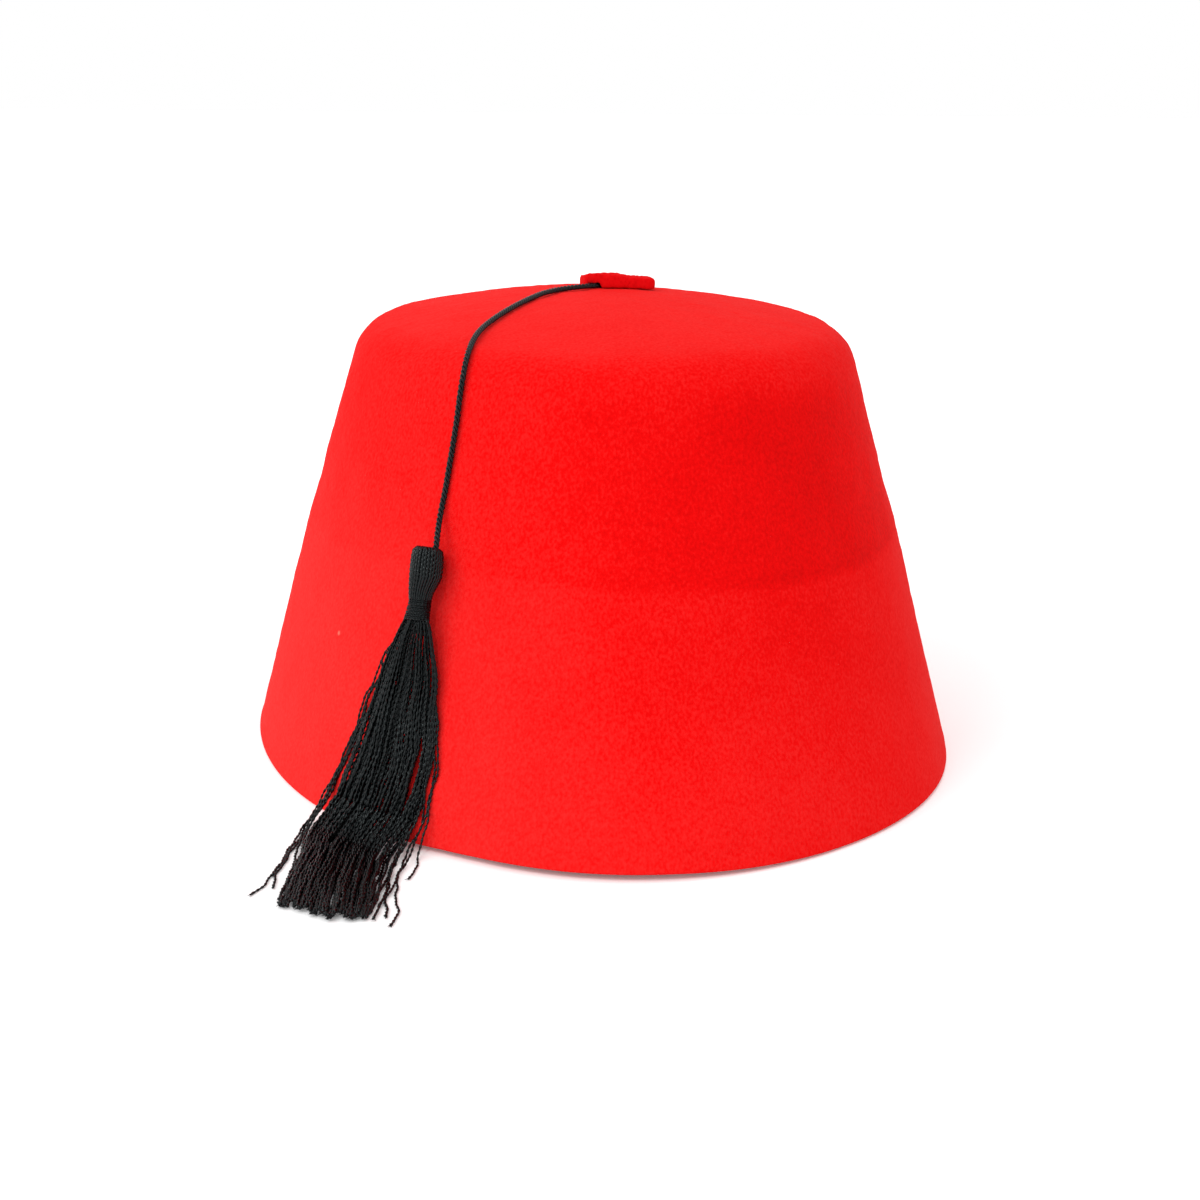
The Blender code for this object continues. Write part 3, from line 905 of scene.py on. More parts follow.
@dataclass
class Studio:
    """A light table in a white room, with a large soft key light and a small clear one."""

    table: float = 12.0
    room: float = 1.0
    lamps: tuple[LampRow, ...] = (LampRow("key_light", 1.08, 36.0, -159.0, 40.0),
                                  LampRow("glint_light", 0.55, 2.0, -118.0, 52.0))

    def add_lamp(self, row: LampRow) -> None:
        """Hang one lamp, as far away as the sun, and turn it to the hat."""
        data = bpy.data.lights.new(row.name, "SUN")
        data.energy = row.strength
        data.angle = math.radians(row.spread)
        light = put_in_scene(row.name, data)
        bearing, height = math.radians(row.bearing), math.radians(row.height)
        away = Vector((math.cos(bearing) * math.cos(height),
                       math.sin(bearing) * math.cos(height), math.sin(height)))
        light.location = away
        light.rotation_mode = "QUATERNION"
        light.rotation_quaternion = away.to_track_quat("Z", "Y")

    def build(self) -> None:
        """Lay the table, hang the lamps and light the room."""
        half = self.table / 2
        mesh = bpy.data.meshes.new("light_table")
        corners = ((-half, -half, 0), (half, -half, 0), (half, half, 0), (-half, half, 0))
        mesh.from_pydata(corners, [], [(0, 1, 2, 3)])
        mesh.materials.append(OpalAcrylic("opal_acrylic").make())
        put_in_scene("light_table", mesh)
        for row in self.lamps:
            self.add_lamp(row)
        world = bpy.data.worlds.new("white_room")
        world.use_nodes = True
        backdrop = world.node_tree.nodes["Background"]
        backdrop.inputs["Color"].default_value = linear(WHITE)
        backdrop.inputs["Strength"].default_value = self.room
        bpy.context.scene.world = world
        bpy.context.scene.view_settings.view_transform = "Standard"


@dataclass(frozen=True)
class PaintedLightTone:
    """A tone that paints light and shade into the crown's colour: low for painted shade, high
    for painted sheen.

    It paints shade above the pressed step, along its creased line and at the right front,
    and sheen at the left and on the top; it is also paler towards the foot.
    Heights are in metres and bearings in degrees; the other values are tones.
    """

    shape: CrownShape
    even: float = 0.66
    left: float = 0.34
    left_sheen_band: tuple[float, float] = (0.1, 0.9)
    left_sheen_fade: float = 0.75
    left_sheen_fade_heights: tuple[float, float] = (0.045, 0.09)
    top: float = 0.08
    top_sheen_heights: tuple[float, float] = (0.100, 0.106)
    foot: float = 0.12
    foot_heights: tuple[float, float] = (0.0, 0.05)
    step_shade: float = 0.08
    step_band: tuple[float, float] = (-0.0012, 0.0016)
    right_shade_above: float = 0.26
    right_shade_below: float = 0.14
    right_shade_bearing: float = -62.0
    right_shade_spread: float = 34.0
    right_shade_heights: tuple[float, float] = (0.088, 0.1)
    crease_shade: float = 0.05
    crease_lift: float = 0.0018
    crease_width: float = 0.0016

    def tone(self, points: Array) -> Array:
        """Return the tone of painted light and shade at points of the felt."""
        height = points[..., 2]
        bearing = np.arctan2(points[..., 1], points[..., 0])
        over_edge = height - self.shape.step_edge(bearing)
        above = smooth(over_edge, *self.step_band)
        # Painted sheen on the top
        top = smooth(height, *self.top_sheen_heights)
        # Painted shade along the creased line just above the step
        crease_shade = np.exp(-((over_edge - self.crease_lift) / self.crease_width) ** 2)
        # Painted shade at the right front, where the felt faces away from the key light
        off = (np.degrees(bearing) - self.right_shade_bearing + 180) % 360 - 180
        flat = np.exp(-(off / self.right_shade_spread) ** 2) * (1 - smooth(height, *self.right_shade_heights))
        # Painted sheen at the left, where the key light grazes the felt, fading higher up
        left = smooth(-np.cos(bearing), *self.left_sheen_band)
        left = left * (1 - self.left_sheen_fade * smooth(height, *self.left_sheen_fade_heights))
        tone = self.even + self.left * left + self.top * top
        # Paler towards the foot
        tone = tone + self.foot * (1 - smooth(height, *self.foot_heights))
        # Painted shade above the step, and at the right front below it too
        pressed = above * (1 - top) * (self.step_shade + self.right_shade_above * flat)
        pressed = pressed + self.right_shade_below * flat * (1 - above)
        return tone - pressed - crease_shade * self.crease_shade * flat


@dataclass
class FeltCrown:
    """The blocked crown: an open shell of felt with a cut lower edge."""

    shape: CrownShape
    sides: int = 384
    dome_rings: int = 46
    shoulder_rings: int = 18
    wall_rings: int = 106
    inner_rings: int = 44
    edge_round: float = 0.0009
    edge_steps: int = 6
    flat_edge: tuple[float, float] = (0.985, 0.995)
    bow_heights: tuple[float, float] = (0.002, 0.03)
    lint_place: tuple[float, float, float] = (-0.0687, -0.0421, 0.0380)
    relief_rows: tuple[ReliefRow, ...] = (ReliefRow(0.00013, 0.055, 11),
                                          ReliefRow(0.00005, 0.011, 12),
                                          ReliefRow(0.00003, 0.0035, 13))

    def outer_shares(self) -> Array:
        """Return the rings' shares on the outer face, from near the pole to the edge."""
        cut = self.shape.section
        dome = cut.dome_share * np.arange(1, self.dome_rings + 1) / self.dome_rings
        shoulder = np.linspace(cut.dome_share, cut.wall_share, self.shoulder_rings + 1)[1:]
        low = 1 - self.edge_round / cut.length
        wall = np.linspace(cut.wall_share, low, self.wall_rings + 1)[1:]
        return np.concatenate([dome, shoulder, wall])

    def relief(self, points: Array) -> Array:
        """Return the felt's uneven height: slow sways, dimples and pebbles."""
        return sum(row.height * ripple(points, row.wavelength, row.seed)
                   for row in self.relief_rows)

    def ease_off(self, points: Array) -> Array:
        """Bow the lower edge out at the front, and lift it a little off the ground there.

        Args:
            points: Points of the felt.

        Returns:
            The moved points.
        """
        bearing = np.degrees(np.arctan2(points[..., 1], points[..., 0]))
        rows = np.array(RIM_ROWS).T
        low = (1 - smooth(points[..., 2], *self.bow_heights))[..., None] * MM
        # The tiny shift keeps the direction defined on the axis
        out = unit(points * [1.0, 1.0, 0.0] + 1e-9)
        bow = np.interp(bearing, rows[0], rows[1])[..., None] * out
        return points + low * (bow + np.interp(bearing, rows[0], rows[2])[..., None] * UP)

    def build(self) -> bpy.types.Object:
        """Build the crown."""
        cut = self.shape.section
        bearing = even_turns(self.sides)[None, :]
        outer = self.outer_shares()[:, None]
        face = self.shape.point(outer, bearing)
        fade = 1 - smooth(outer, *self.flat_edge)
        lift = self.relief(face) * fade
        face = face + self.shape.normal(outer, bearing) * lift[..., None]
        corner = np.radians(np.linspace(0.0, 90.0, self.edge_steps + 1)[1:])
        inset = self.edge_round * (1 - np.cos(corner))
        drop = self.edge_round * (1 - np.sin(corner)) / cut.length
        thick = self.shape.thickness
        insets = np.concatenate([inset, thick - inset[::-1]])[:, None]
        edge_shares = 1 - np.concatenate([drop, drop[::-1]])[:, None]
        edge = self.shape.point(edge_shares, bearing, insets)
        inner_shares = np.linspace(1 - self.edge_round / cut.length, 0.0,
                                   self.inner_rings, endpoint=False)[:, None]
        inner = self.shape.point(inner_shares, bearing, thick)
        skin = Skin()
        rings = self.ease_off(np.concatenate([face, edge, inner])[:, ::-1])
        # The tone paints light and shade into the felt's colour
        numbers = skin.add_rings(rings, PaintedLightTone(self.shape).tone(rings))
        top = self.shape.point(0.0, 0.0) + UP * lift[0].mean()
        under = self.shape.point(0.0, 0.0, thick)
        skin.add_fan(numbers[0], top, EVEN_TONE, False)
        skin.add_fan(numbers[-1], under, EVEN_TONE, True)
        felt = WoolFelt("wool_felt_blocked", lint_place=self.lint_place)
        return skin.build("crown_felt", felt.make(), Slot.CROWN, ["felt_crown"])


@dataclass
class FeltTab:
    """The small felt tab on the top, which holds the cord's end."""

    shape: CrownShape
    cord_line: Array
    cord_diameter: float
    length: float = 0.0181
    depth: float = 0.0085
    thickness: float = 0.0026
    x: float = 0.0054
    y: float = 0.0102
    bulge: float = 0.0009
    bulge_reach: float = 0.8
    corner: float = 0.0011
    corner_points: int = 7
    soft_edge: float = 0.00045
    hollow: float = 0.92
    hollow_band: tuple[float, float] = (0.62, 1.05)
    fuzz: float = 0.00006
    fuzz_foot: float = 0.09
    columns: int = 96
    rows: int = 48

    def top_height(self, x: Array, y: Array) -> Array:
        """Return the height of the crown's top above points near its middle."""
        cut = self.shape.section
        bearing = np.arctan2(y, x)
        radius = np.hypot(x, y) / self.shape.oval(self.shape.height, bearing)
        return cut.dome_centre + np.sqrt(cut.dome_radius ** 2 - radius ** 2)

    def outline(self) -> Array:
        """Return the tab's rounded outline as x and y about its middle, going round."""
        half = np.array([self.length / 2, self.depth / 2])
        centres = (half - self.corner) * np.array([[1, 1], [-1, 1], [-1, -1], [1, -1]])
        arcs = []
        for quarter, centre in enumerate(centres):
            turn = np.linspace(quarter, quarter + 1, self.corner_points) * math.pi / 2
            arcs.append(centre + self.corner * np.stack([np.cos(turn), np.sin(turn)], axis=1))
        loop = np.concatenate(arcs + [arcs[0][:1]])
        flat = np.column_stack([loop, np.zeros(len(loop))])
        return walk(flat, self.columns * 2 + 1)[:-1, :2]

    def face(self, flat: Array, level: Array) -> Array:
        """Return points of the tab between its lower face, 0, and its upper one, 1.

        Args:
            flat: The points' x and y about the tab's middle.
            level: Their share of the thickness.

        Returns:
            The points.
        """
        x = self.x + flat[..., 0]
        y = self.y + flat[..., 1]
        cord_x, cord_y, _ = self.cord_line.T
        gaps = np.hypot(x[..., None] - cord_x, y[..., None] - cord_y)
        beside = gaps.min(axis=-1)
        wide = self.cord_diameter
        gap = self.shape.clearance
        near, far = self.hollow_band
        hollow = wide * self.hollow * (1 - smooth(beside, wide * near, wide * far))
        bulge = self.bulge * (1 - smooth(beside, 0.0, self.depth * self.bulge_reach))
        low = gap + hollow
        high = gap + self.thickness + bulge
        height = self.top_height(x, y) + low + (high - low) * level
        return np.stack([x, y, height], axis=-1)

    def build(self) -> bpy.types.Object:
        """Build the tab."""
        loop = self.outline()
        # The cut side, from the lower face up: how high each ring is, and how far it tucks in
        levels = np.array([0.0, 0.03, 0.10, 0.30, 0.55, 0.78, 0.92, 0.98, 1.0])
        tucks = self.soft_edge * np.array([1.0, 0.45, 0.12, 0.0, 0.0, 0.08, 0.40, 0.80, 1.5])
        away = unit(loop)
        sides = np.stack([self.face(loop - away * tuck, np.full(len(loop), level))
                          for level, tuck in zip(levels, tucks)])
        shrink = np.linspace(1.0, 0.0, self.rows // 2, endpoint=False)[1:]
        tucked = loop - away * tucks[-1]
        above = np.stack([self.face(tucked * share, np.ones(len(loop))) for share in shrink])
        lower = loop - away * tucks[0]
        below = np.stack([self.face(lower * share, np.zeros(len(loop)))
                          for share in shrink[::-1]])
        rings = np.concatenate([below, sides, above])
        relief = ripple(rings, 0.0016, seed=31) + ripple(rings, 0.0006, seed=32)
        outward = unit(rings - [self.x, self.y, self.fuzz_foot])
        rings = rings + self.fuzz * relief[..., None] * outward
        skin = Skin()
        numbers = skin.add_rings(rings)
        middle = np.zeros(2)
        skin.add_fan(numbers[0], self.face(middle, np.array(0.0)), EVEN_TONE, False)
        skin.add_fan(numbers[-1], self.face(middle, np.array(1.0)), EVEN_TONE, True)
        felt = WoolFelt("wool_felt_cut", pit_and_shade="A80307", dyed="D2090F", raised_and_sheen="DC1A1C")
        return skin.build("tab_felt_piece", felt.make(), Slot.TAB, ["top_tab"])


@dataclass
class HangingCord:
    """The cord: three plies twisted into a rope, from under the tab to the tassel."""

    shape: CrownShape
    head_lift: float
    diameter: float = 0.0014
    lay_length: float = 0.0034
    ply_pitch: float = 0.0015
    # Three plies that touch fill the cord's width in these shares
    plies_across: float = 4.31
    ply_arm: float = 1.155
    ply_press: float = 1.06
    ply_tones: tuple[float, ...] = (0.55, 0.70, 0.85)
    ply_lobe: float = 0.10
    ply_sides: int = 10
    roughness: float = 0.35
    fineness: float = 0.00022
    path_points: int = 140

    @cached_property
    def line(self) -> Array:
        """Return the centreline's dense points."""
        rest = self.diameter / 2 + self.shape.clearance
        climb = self.head_lift - rest
        route = [self.shape.stand_off(row.down, row.bearing, rest + row.rise * climb)[0]
                 for row in CORD_ROUTE]
        return smooth_curve(np.array(route))

    def build(self) -> bpy.types.Object:
        """Build the three plies as one piece."""
        length = line_length(self.line)
        line = walk(self.line, round(length / self.fineness))
        # Roughly out of the hat, on the top as on the wall
        ups = unit(line * [1.0, 1.0, 0.6] - [0.0, 0.0, 0.02])
        _, side, over = directions(line, ups)
        walked = np.linspace(0.0, length, len(line))
        ply = self.diameter / self.plies_across
        arm = ply * self.ply_arm
        radii = np.full(len(line), ply * self.ply_press)
        skin = Skin()
        for number, tone in enumerate(self.ply_tones):
            turn = 2 * math.pi * (number / len(self.ply_tones) + walked / self.lay_length)
            out = np.cos(turn)[:, None] * side + np.sin(turn)[:, None] * over
            skin.add_strand(line + out * arm, out, radii, tone, lobe=self.ply_lobe,
                            pitch=-self.ply_pitch, sides=self.ply_sides)
        finish = ViscoseThread("viscose_cord", roughness=self.roughness)
        return skin.build("cord_plies", finish.make(), Slot.CORD, ["hanging_cord"])

    def declare(self, piece: bpy.types.Object) -> None:
        """Walk the cord's path and measure its length, but keep neither.

        Args:
            piece: The cord's object; not used.
        """
        path = walk(self.line, self.path_points)
        line_length(self.line)


@dataclass
class TasselHead:
    """The tassel's head and wound neck, laid about a short axis on the wall."""

    shape: CrownShape
    head_diameter: float = 0.0072
    neck_diameter: float = 0.0037
    binding_thread: float = 0.00055
    top_place: WallPlace = WallPlace(0.627, 232.8)
    end_place: WallPlace = WallPlace(0.717, 232.8)
    neck_share: tuple[float, float] = (0.60, 0.92)
    felt_gap: float = 0.0006
    flatten: float = 0.38
    flat_part: tuple[float, float] = (0.70, 0.92)
    rings: int = 72
    core_sides: int = 32
    core_share: float = 0.9
    draped: int = 31
    draped_radius: float = 0.00043
    draped_taper: float = 0.30
    draped_taper_part: tuple[float, float] = (0.3, 0.55)
    draped_lean: float = 0.12
    draped_pitch: float = 0.0019
    draped_lobe: float = 0.16
    turns: int = 13
    turn_points: int = 26
    wander: float = 0.006
    binding_tuck: float = 0.0004
    binding_pitch: float = 0.0016
    binding_lobe: float = 0.2

    @property
    def lift(self) -> float:
        """Return how far the axis stands off the felt."""
        return self.head_diameter / 2 + self.felt_gap + self.shape.clearance

    @cached_property
    def axis(self) -> tuple[Array, Array, Array, Array]:
        """Return the axis's two ends and two directions across it."""
        top, outward = self.shape.stand_off(*self.top_place, self.lift)
        end = self.shape.stand_off(*self.end_place, self.lift)[0]
        along = unit(end - top)
        side = unit(np.cross(outward, along))
        return top, end, side, np.cross(along, side)

    @property
    def length(self) -> float:
        """Return the axis's length."""
        return float(np.linalg.norm(self.axis[1] - self.axis[0]))

    def place(self, along: Array, radius: Array, turn: Array, shift: Array = 0.0) -> Array:
        """Return points about the axis.

        Args:
            along: Share along the axis.
            radius: Distance from the ring's middle.
            turn: Angle round it.
            shift: How far the ring's middle lies to the left of the axis.

        Returns:
            The points.
        """
        top, end, side, outward = self.axis
        centre = top + (end - top) * np.asarray(along, float)[..., None]
        centre = centre - side * np.asarray(shift, float)[..., None]
        ring = np.cos(turn)[..., None] * side + np.sin(turn)[..., None] * outward
        return centre + ring * np.asarray(radius, float)[..., None]

    def profile(self, table: Sequence[HeadRow], count: int) -> Array:
        """Return even rows of share, radius and shift on a smooth curve through a table's."""
        rows = np.array([(row.along * self.length, row.radius * MM, row.shift * MM)
                         for row in table])
        return walk(smooth_curve(rows), count) / [self.length, 1.0, 1.0]

    def build_head(self, finish: bpy.types.Material) -> bpy.types.Object:
        """Build the draped threads over a core.

        Args:
            finish: The threads' material.

        Returns:
            The head.
        """
        rng = np.random.default_rng(41)
        along, radius, shift = self.profile(HEAD_ROWS, self.rings).T
        skin = Skin()
        core = self.place(along[1:, None], radius[1:, None] * self.core_share,
                          even_turns(self.core_sides), shift[1:, None])
        numbers = skin.add_rings(core[:, ::-1], CORE_TONE)
        middle = np.array(0.0)
        # The core's pole lies a little below the threads' own, so that it stays covered
        pole = self.place(along[0] + 0.02, middle, middle, shift[0])
        skin.add_fan(numbers[0], pole, CORE_TONE, False)
        skin.add_fan(numbers[-1], self.place(along[-1], middle, middle, shift[-1]),
                     CORE_TONE, True)
        for number in range(self.draped):
            turn = 2 * math.pi * (number + rng.uniform(-0.15, 0.15)) / self.draped
            start = rng.integers(3, 9)
            share, reach, aside = along[start:], radius[start:], shift[start:]
            line_turn = turn + (rng.uniform(-0.10, 0.10) + self.draped_lean) * share
            taper = self.draped_taper * smooth(share, *self.draped_taper_part)
            thick = self.draped_radius * (1 - taper)
            sunk = thick * 0.9
            reach = np.maximum(reach - sunk + rng.uniform(-0.00006, 0.00006), 0.0002)
            line = self.place(share, reach, line_turn, aside)
            ups = self.place(share, reach + MM, line_turn, aside) - line + 1e-6 * UP
            skin.add_strand(line, ups, thick, rng.uniform(0.2, 0.9), lobe=self.draped_lobe,
                            pitch=self.draped_pitch * rng.uniform(0.9, 1.15),
                            turn=rng.uniform(0, 3))
        return skin.build("tassel_head_threads", finish, Slot.TASSEL, ["tassel"])

    def wrap(self, along: Array, radius: Array, turn: Array, shift: Array) -> Array:
        """Return points round the neck, which lies flatter where the skirt begins.

        Args:
            along: Share along the axis.
            radius: Distance from the ring's middle, to its sides.
            turn: Angle round it.
            shift: How far the ring's middle lies to the left of the axis.

        Returns:
            The points.
        """
        flatter = self.flatten * smooth(along, *self.flat_part) * np.sin(turn) ** 2
        return self.place(along, radius * (1 - flatter), turn, shift)

    def build_binding(self) -> bpy.types.Object:
        """Build the thread wound round the neck."""
        count = self.turns * self.turn_points
        along, radius, shift = self.profile(NECK_ROWS, count).T
        part = np.linspace(0.0, 1.0, count)
        turn = 2 * math.pi * self.turns * part
        # The turns crowd and part a little, most at the neck's middle
        wander = self.wander * np.sin(turn * 0.37 + 1.0) * part * (1 - part) * 4
        # Both ends of the thread are tucked under
        ends = smooth(part, 0.0, 0.02) * (1 - smooth(part, 0.98, 1.0))
        radius = radius - self.binding_tuck * (1 - ends)
        line = self.wrap(along + wander, radius, turn, shift)
        ups = self.wrap(along + wander, radius + MM, turn, shift) - line
        skin = Skin()
        skin.add_strand(line, ups, np.full(count, self.binding_thread / 2), 0.6,
                        lobe=self.binding_lobe, pitch=self.binding_pitch)
        core = self.wrap(along[:, None], radius[:, None] - 0.1 * MM,
                         even_turns(self.core_sides), shift[:, None])
        numbers = skin.add_rings(core[::self.turn_points, ::-1], CORE_TONE)
        for ring, row, outward in ((numbers[0], 0, False), (numbers[-1], -1, True)):
            middle = self.place(along[row], np.array(0.0), np.array(0.0), shift[row])
            skin.add_fan(ring, middle, CORE_TONE, outward)
        finish = ViscoseThread("viscose_binding", specular=0.2)
        return skin.build("neck_winding", finish.make(), Slot.BINDING, ["neck_binding"])


@dataclass(frozen=True)
class ThreadHabit:
    """How the skirt's threads differ from one another.

    Ranges and spreads feed the random draws. Sizes are in metres, places across and along
    the skirt are shares, and a wave's pace is in turns or in metres.
    """

    width: tuple[float, float] = (0.86, 1.08)
    loose_width: float = 0.85
    neck_width: float = 0.45
    neck_run: tuple[float, float] = (0.004, 0.026)
    blown: float = 0.22
    blown_run: tuple[float, float] = (0.0010, 0.0003)
    trim: float = 0.0014
    trim_spread: float = 0.0009
    short_chance: float = 0.10
    short_by: float = 0.003
    locks: tuple[WaveRow, ...] = (WaveRow(0.0011, 17, 0.6), WaveRow(0.0008, 41))
    root_spread: float = 0.30
    root_limit: float = 0.95
    root_power: float = 1.6
    drift: float = 0.045
    drift_turns: tuple[float, float] = (0.7, 1.8)
    rise_spread: float = 0.25
    rise: float = 0.12
    rise_turns: tuple[float, float] = (1.0, 2.5)
    sways: tuple[WaveRow, ...] = (WaveRow(0.00014, 0.0110), WaveRow(0.00007, 0.0048))
    stray_sways: tuple[WaveRow, ...] = (WaveRow(0.00022, 0.0115), WaveRow(0.00010, 0.0052))
    lobe: float = 0.38
    pitch: float = 0.0029
    filaments: int = 3
    filament_spread: float = 0.32
    filament_reach: tuple[float, float] = (0.0005, 0.0012)
    filament_radii: tuple[float, float] = (0.00011, 0.00004)


@dataclass
class TasselSkirt:
    """The skirt: twisted threads that fan down the wall and out over the floor."""

    shape: CrownShape
    head: TasselHead
    habit: ThreadHabit = ThreadHabit()
    per_layer: int = 35
    thread_mm: float = 0.80
    fineness: float = 0.00033
    thickness: float = 0.0032
    thin_out: float = 0.45
    neck_spreads: tuple[float, float] = (0.0015, 0.0038)
    neck_aside: float = 0.0006
    foot_run: float = 0.0045
    floor_gap: float = 0.0002
    filament_floor: float = 0.00012
    full_share: float = 0.3
    across_lines: int = 49
    stations: int = 161
    loose_places: tuple[float, ...] = (-0.96, 0.75, -0.86, 0.81, 0.86, 0.91, 0.97)

    def table(self, column: str, across: Array) -> Array:
        """Read a column of the floor's table between its rows."""
        keys = [row.across for row in FLOOR_ROWS]
        return np.interp(across, keys, [getattr(row, column) for row in FLOOR_ROWS])

    def bundle(self, across: float) -> float:
        """Return the half chord of the round bundle at the neck."""
        return self.head.neck_diameter * 0.7 * math.sqrt(1 - 0.8 * across * across)

    def route(self, across: float) -> Array:
        """Return the skirt's underside from the neck to the threads' ends.

        Args:
            across: Place across the skirt, from -1 at its left to 1 at its right.

        Returns:
            The route's points.
        """
        top, end, side, outward = self.head.axis
        behind = self.bundle(across) / 2
        start = top + (end - top) * sum(self.head.neck_share) / 2
        points = [place + side * (across * spread - self.neck_aside) - outward * behind
                  for place, spread in zip((start, end), self.neck_spreads)]
        for row in SKIRT_ROWS:
            bearing = row.left + (row.right - row.left) * (across + 1) / 2
            points.append(self.shape.stand_off(row.down, bearing,
                                               self.shape.clearance + row.lift)[0])
        foot, normal = self.shape.stand_off(1.0, bearing, 0.0)
        out = unit(normal * [1.0, 1.0, 0.0])
        heading = math.radians(float(self.table("bearing", across)))
        away = np.array([math.cos(heading), math.sin(heading), 0.0])
        level = UP * self.floor_gap
        run_out = foot + (out + away) * self.foot_run + level
        tip = foot + away * float(self.table("reach", across)) + level
        points += [run_out + (tip - run_out) * share for share in (0.0, 0.33, 0.66, 1.0)]
        return np.array(points)

    @cached_property
    def sheet(self) -> tuple[Array, Array, Array, Array]:
        """Return the skirt's underside, its outward directions, thickness and lengths."""
        across = np.linspace(-1, 1, self.across_lines)
        under = []
        lengths = []
        for place in across:
            line = walk(smooth_curve(self.route(place)), self.stations)
            lengths.append(line_length(line))
            under.append(self.shape.push_out(line, self.shape.clearance, self.floor_gap))
        grid = np.array(under)
        along = np.linspace(0, 1, self.stations)
        normal = unit(np.cross(np.gradient(grid, axis=1), np.gradient(grid, axis=0)))
        settled = smooth(along, 0.0, self.full_share)[None, :, None]
        outward = self.head.axis[3]
        normal = unit(outward + (normal - outward) * settled)
        round_part = np.array([self.bundle(place) for place in across])[:, None]
        full = self.thickness * self.table("fill", across)[:, None]
        thick = round_part + (full - round_part) * settled[..., 0]
        thinner = 1 - self.thin_out * smooth(along, 0.80, 1.0)
        return grid, normal, thick * thinner, np.array(lengths)

    def at(self, across: Array, along: Array, depth: Array,
           radius: Array) -> tuple[Array, Array]:
        """Return places in the skirt and the directions out of it.

        Args:
            across: From -1 at the left to 1 at the right.
            along: From 0 at the neck to 1 at the ends.
            depth: From 0 on the felt to 1 at the front.
            radius: The thread's radius, which keeps it inside.

        Returns:
            The points and the outward directions.
        """
        grid, normal, thick, _ = self.sheet
        column = np.clip((across + 1) / 2, 0, 1) * (self.across_lines - 1.001)
        row = np.clip(along, 0, 1) * (self.stations - 1.001)
        left, low = column.astype(int), row.astype(int)
        part_x, part_y = column - left, row - low

        def read(table: Array) -> Array:
            """Read a table between its four nearest entries."""
            extra = (...,) + (None,) * (table.ndim - 2)
            side, rise = part_x[extra], part_y[extra]
            first = table[left, low] * (1 - side) + table[left + 1, low] * side
            second = table[left, low + 1] * (1 - side) + table[left + 1, low + 1] * side
            return first * (1 - rise) + second * rise

        out = unit(read(normal))
        room = np.maximum(read(thick) - 2 * radius, 0.0)
        return read(grid) + out * (radius + room * depth)[:, None], out

    def radii(self, walked: Array, total: float, width: float) -> Array:
        """Return a thread's radius: packed thin in the neck and blown at the cut end."""
        habit = self.habit
        grow = habit.neck_width + (1 - habit.neck_width) * smooth(walked, *habit.neck_run)
        start, end = (total - run for run in habit.blown_run)
        return width / 2 * grow * (1 + habit.blown * smooth(walked, start, end))

    def add_thread(self, skin: Skin, rng: np.random.Generator, across: float,
                   depth: float, loose_run: bool = False) -> None:
        """Add one thread of the bundle.

        Args:
            skin: The mesh that takes it.
            rng: The source of its small irregularities.
            across: Its place across the skirt.
            depth: Its depth in the skirt.
            loose_run: Whether it runs by itself, away from the close threads.
        """
        habit = self.habit
        lengths = self.sheet[3]
        total = float(np.interp(across, np.linspace(-1, 1, self.across_lines), lengths))
        # Neighbours were trimmed together, so the ends step in and out in locks
        lock = sum(row.size * math.sin(across * row.pace + row.start) for row in habit.locks)
        trim = habit.trim + lock + rng.normal(0, habit.trim_spread)
        trim += (rng.random() < habit.short_chance) * habit.short_by
        last = 1 - max(trim, 0.0) / total
        count = int(total * last / self.fineness)
        along = np.linspace(0.0, last, count)
        walked = along * total
        width = self.thread_mm * MM * rng.uniform(*habit.width)
        if loose_run:
            width *= habit.loose_width
        radius = self.radii(walked, walked[-1], width)
        root = np.clip(across + rng.normal(0, habit.root_spread), -habit.root_limit,
                       habit.root_limit)
        free = (1 - along) ** habit.root_power
        drift = habit.drift * wave(along * rng.uniform(*habit.drift_turns) + rng.random())
        place = across + (root - across) * free + drift * smooth(along, 0.1, 0.5)
        if not loose_run:
            keys, lefts, rights = np.array(CROWD_ROWS).T
            left = np.interp(along, keys, lefts)
            place = left + (np.interp(along, keys, rights) - left) * (place + 1) / 2
        rise = rng.normal(0, habit.rise_spread) * free
        rise += habit.rise * wave(along * rng.uniform(*habit.rise_turns) + rng.random())
        points, out = self.at(np.clip(place, -1, 1), np.clip(along, 0, 1),
                              np.clip(depth + rise, 0, 1), radius)
        slopes, side, _ = directions(points, out)
        loose = smooth(along, 0.12, 0.4)
        sway = np.zeros(count)
        lift = np.zeros(count)
        for row in habit.sways:
            long = row.pace * rng.uniform(0.8, 1.3)
            sway += row.size * wave(walked / long + rng.random())
            lift += row.size * wave(walked / long + rng.random())
        points = points + side * (sway * loose)[:, None] + out * (lift * loose * 0.8)[:, None]
        points = self.shape.push_out(points, radius, radius * 0.9)
        skin.add_strand(points, out, radius, rng.uniform(0.1, 1.0) ** 1.3, lobe=habit.lobe,
                        pitch=habit.pitch * rng.uniform(0.85, 1.2), turn=rng.uniform(0, 3))
        self.add_tuft(skin, rng, points[-1], slopes[-1], out[-1], width)

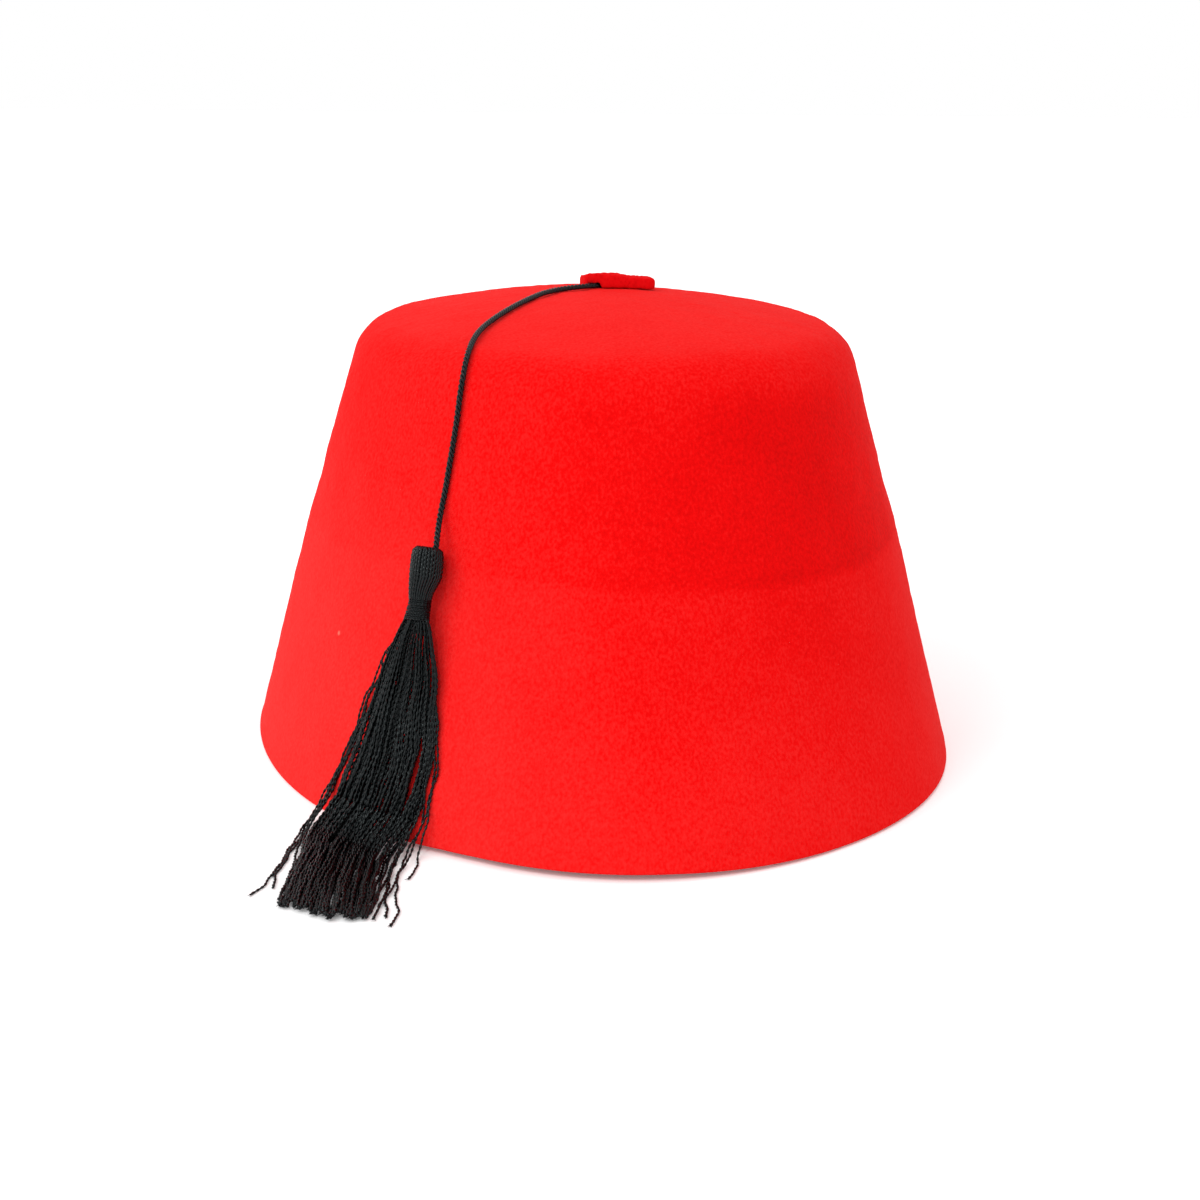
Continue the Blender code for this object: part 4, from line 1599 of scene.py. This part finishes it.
    def add_tuft(self, skin: Skin, rng: np.random.Generator, tip: Array, heading: Array,
                 out: Array, width: float) -> None:
        """Add the few filaments that open out of a cut end.

        Args:
            skin: The mesh that takes them.
            rng: The source of their directions.
            tip: The thread's end.
            heading: The thread's direction there.
            out: The direction out of the skirt.
            width: The thread's width.
        """
        habit = self.habit
        count = 4
        part = np.linspace(0, 1, count)[:, None]
        radii = np.linspace(*habit.filament_radii, count)
        side = unit(np.cross(heading, out))
        for _ in range(habit.filaments):
            spread = rng.normal(0, habit.filament_spread, 2)
            aim = unit(heading + side * spread[0] + out * abs(spread[1]) * 0.5)
            reach = rng.uniform(*habit.filament_reach)
            start = tip + side * spread[0] * width * 0.4
            line = start + aim * reach * part + side * (spread[0] * 0.3 * reach) * part ** 2
            line[:, 2] = np.maximum(line[:, 2], self.filament_floor)
            skin.add_strand(line, np.tile(out, (count, 1)), radii, 0.8, sides=count)

    def build(self, finish: bpy.types.Material) -> list[bpy.types.Object]:
        """Build the layers of threads, each as one piece.

        Args:
            finish: The threads' material.

        Returns:
            The pieces.
        """
        pieces = []
        for number, layer in enumerate(Layer):
            rng = np.random.default_rng(60 + number)
            skin = Skin()
            low, high = layer.value
            for index in range(self.per_layer):
                share = (index + 0.5 + rng.uniform(-0.4, 0.4)) / self.per_layer
                across = 2 * share - 1
                self.add_thread(skin, rng, across, rng.uniform(low, high))
            for across in self.loose_places[number::len(Layer)]:
                self.add_thread(skin, rng, across, rng.uniform(0.1, 0.7), True)
            name = f"skirt_threads_{layer.name.lower()}"
            pieces.append(skin.build(name, finish, Slot.TASSEL))
        return pieces

    def build_strays(self, finish: bpy.types.Material) -> bpy.types.Object:
        """Build the threads that left the bundle.

        Args:
            finish: The threads' material.

        Returns:
            The piece.
        """
        rng = np.random.default_rng(77)
        skin = Skin()
        downs, _, _, lifts = np.array(SKIRT_ROWS).T
        # All strays leave from the front of the neck's lower end
        start = self.head.place(np.array([0.9, 1.0]), np.array([0.0006, 0.0008]),
                                np.array([1.5, 1.5]))
        for row in STRAY_ROWS:
            width = row.thickness * MM
            wall = [self.shape.stand_off(place.down, place.bearing, self.shape.clearance
                                         + width * 0.7 + np.interp(place.down, downs, lifts))[0]
                    for place in row.wall]
            ground = [np.array([place.x * MM, place.y * MM, width * 0.55])
                      for place in row.floor]
            line = smooth_curve(np.array([*start, *wall, *ground]))
            total = line_length(line)
            line = walk(line, int(total / self.fineness))
            walked = np.linspace(0, total, len(line))
            radius = self.radii(walked, total, width)
            on_floor = smooth(line[:, 2], 0.010, 0.002)[:, None]
            out = unit(line * [1, 1, 0] + UP * 0.02)
            out = unit(out * (1 - on_floor) + UP * on_floor)
            slopes, side, _ = directions(line, out)
            for sway in self.habit.stray_sways:
                phase = rng.random(2)[0]
                line = line + side * (sway.size * wave(walked / sway.pace + phase))[:, None]
            line = self.shape.push_out(line, radius + self.floor_gap, radius * 0.9)
            skin.add_strand(line, out, radius, rng.uniform(0.2, 0.9), lobe=self.habit.lobe,
                            pitch=self.habit.pitch, turn=rng.uniform(0, 3))
            self.add_tuft(skin, rng, line[-1], slopes[-1], out[-1], width)
        return skin.build("stray_threads", finish, Slot.TASSEL)


def main() -> None:
    """Build the camera, the cord, the rest of the hat and the studio, in that order."""
    logging.basicConfig(level=logging.INFO, format="%(name)s: %(message)s")
    PhotoCamera().build()
    shape = CrownShape()
    head = TasselHead(shape)
    cord = HangingCord(shape, head.lift)
    cord_piece = cord.build()
    thread = ViscoseThread("viscose_thread").make()
    head_piece = head.build_head(thread)
    binding = head.build_binding()
    cord.declare(cord_piece)
    FeltCrown(shape).build()
    FeltTab(shape, cord.line, cord.diameter).build()
    skirt = TasselSkirt(shape, head)
    skirt.build(thread)
    skirt.build_strays(thread)
    Studio().build()


if __name__ == "__main__":
    main()
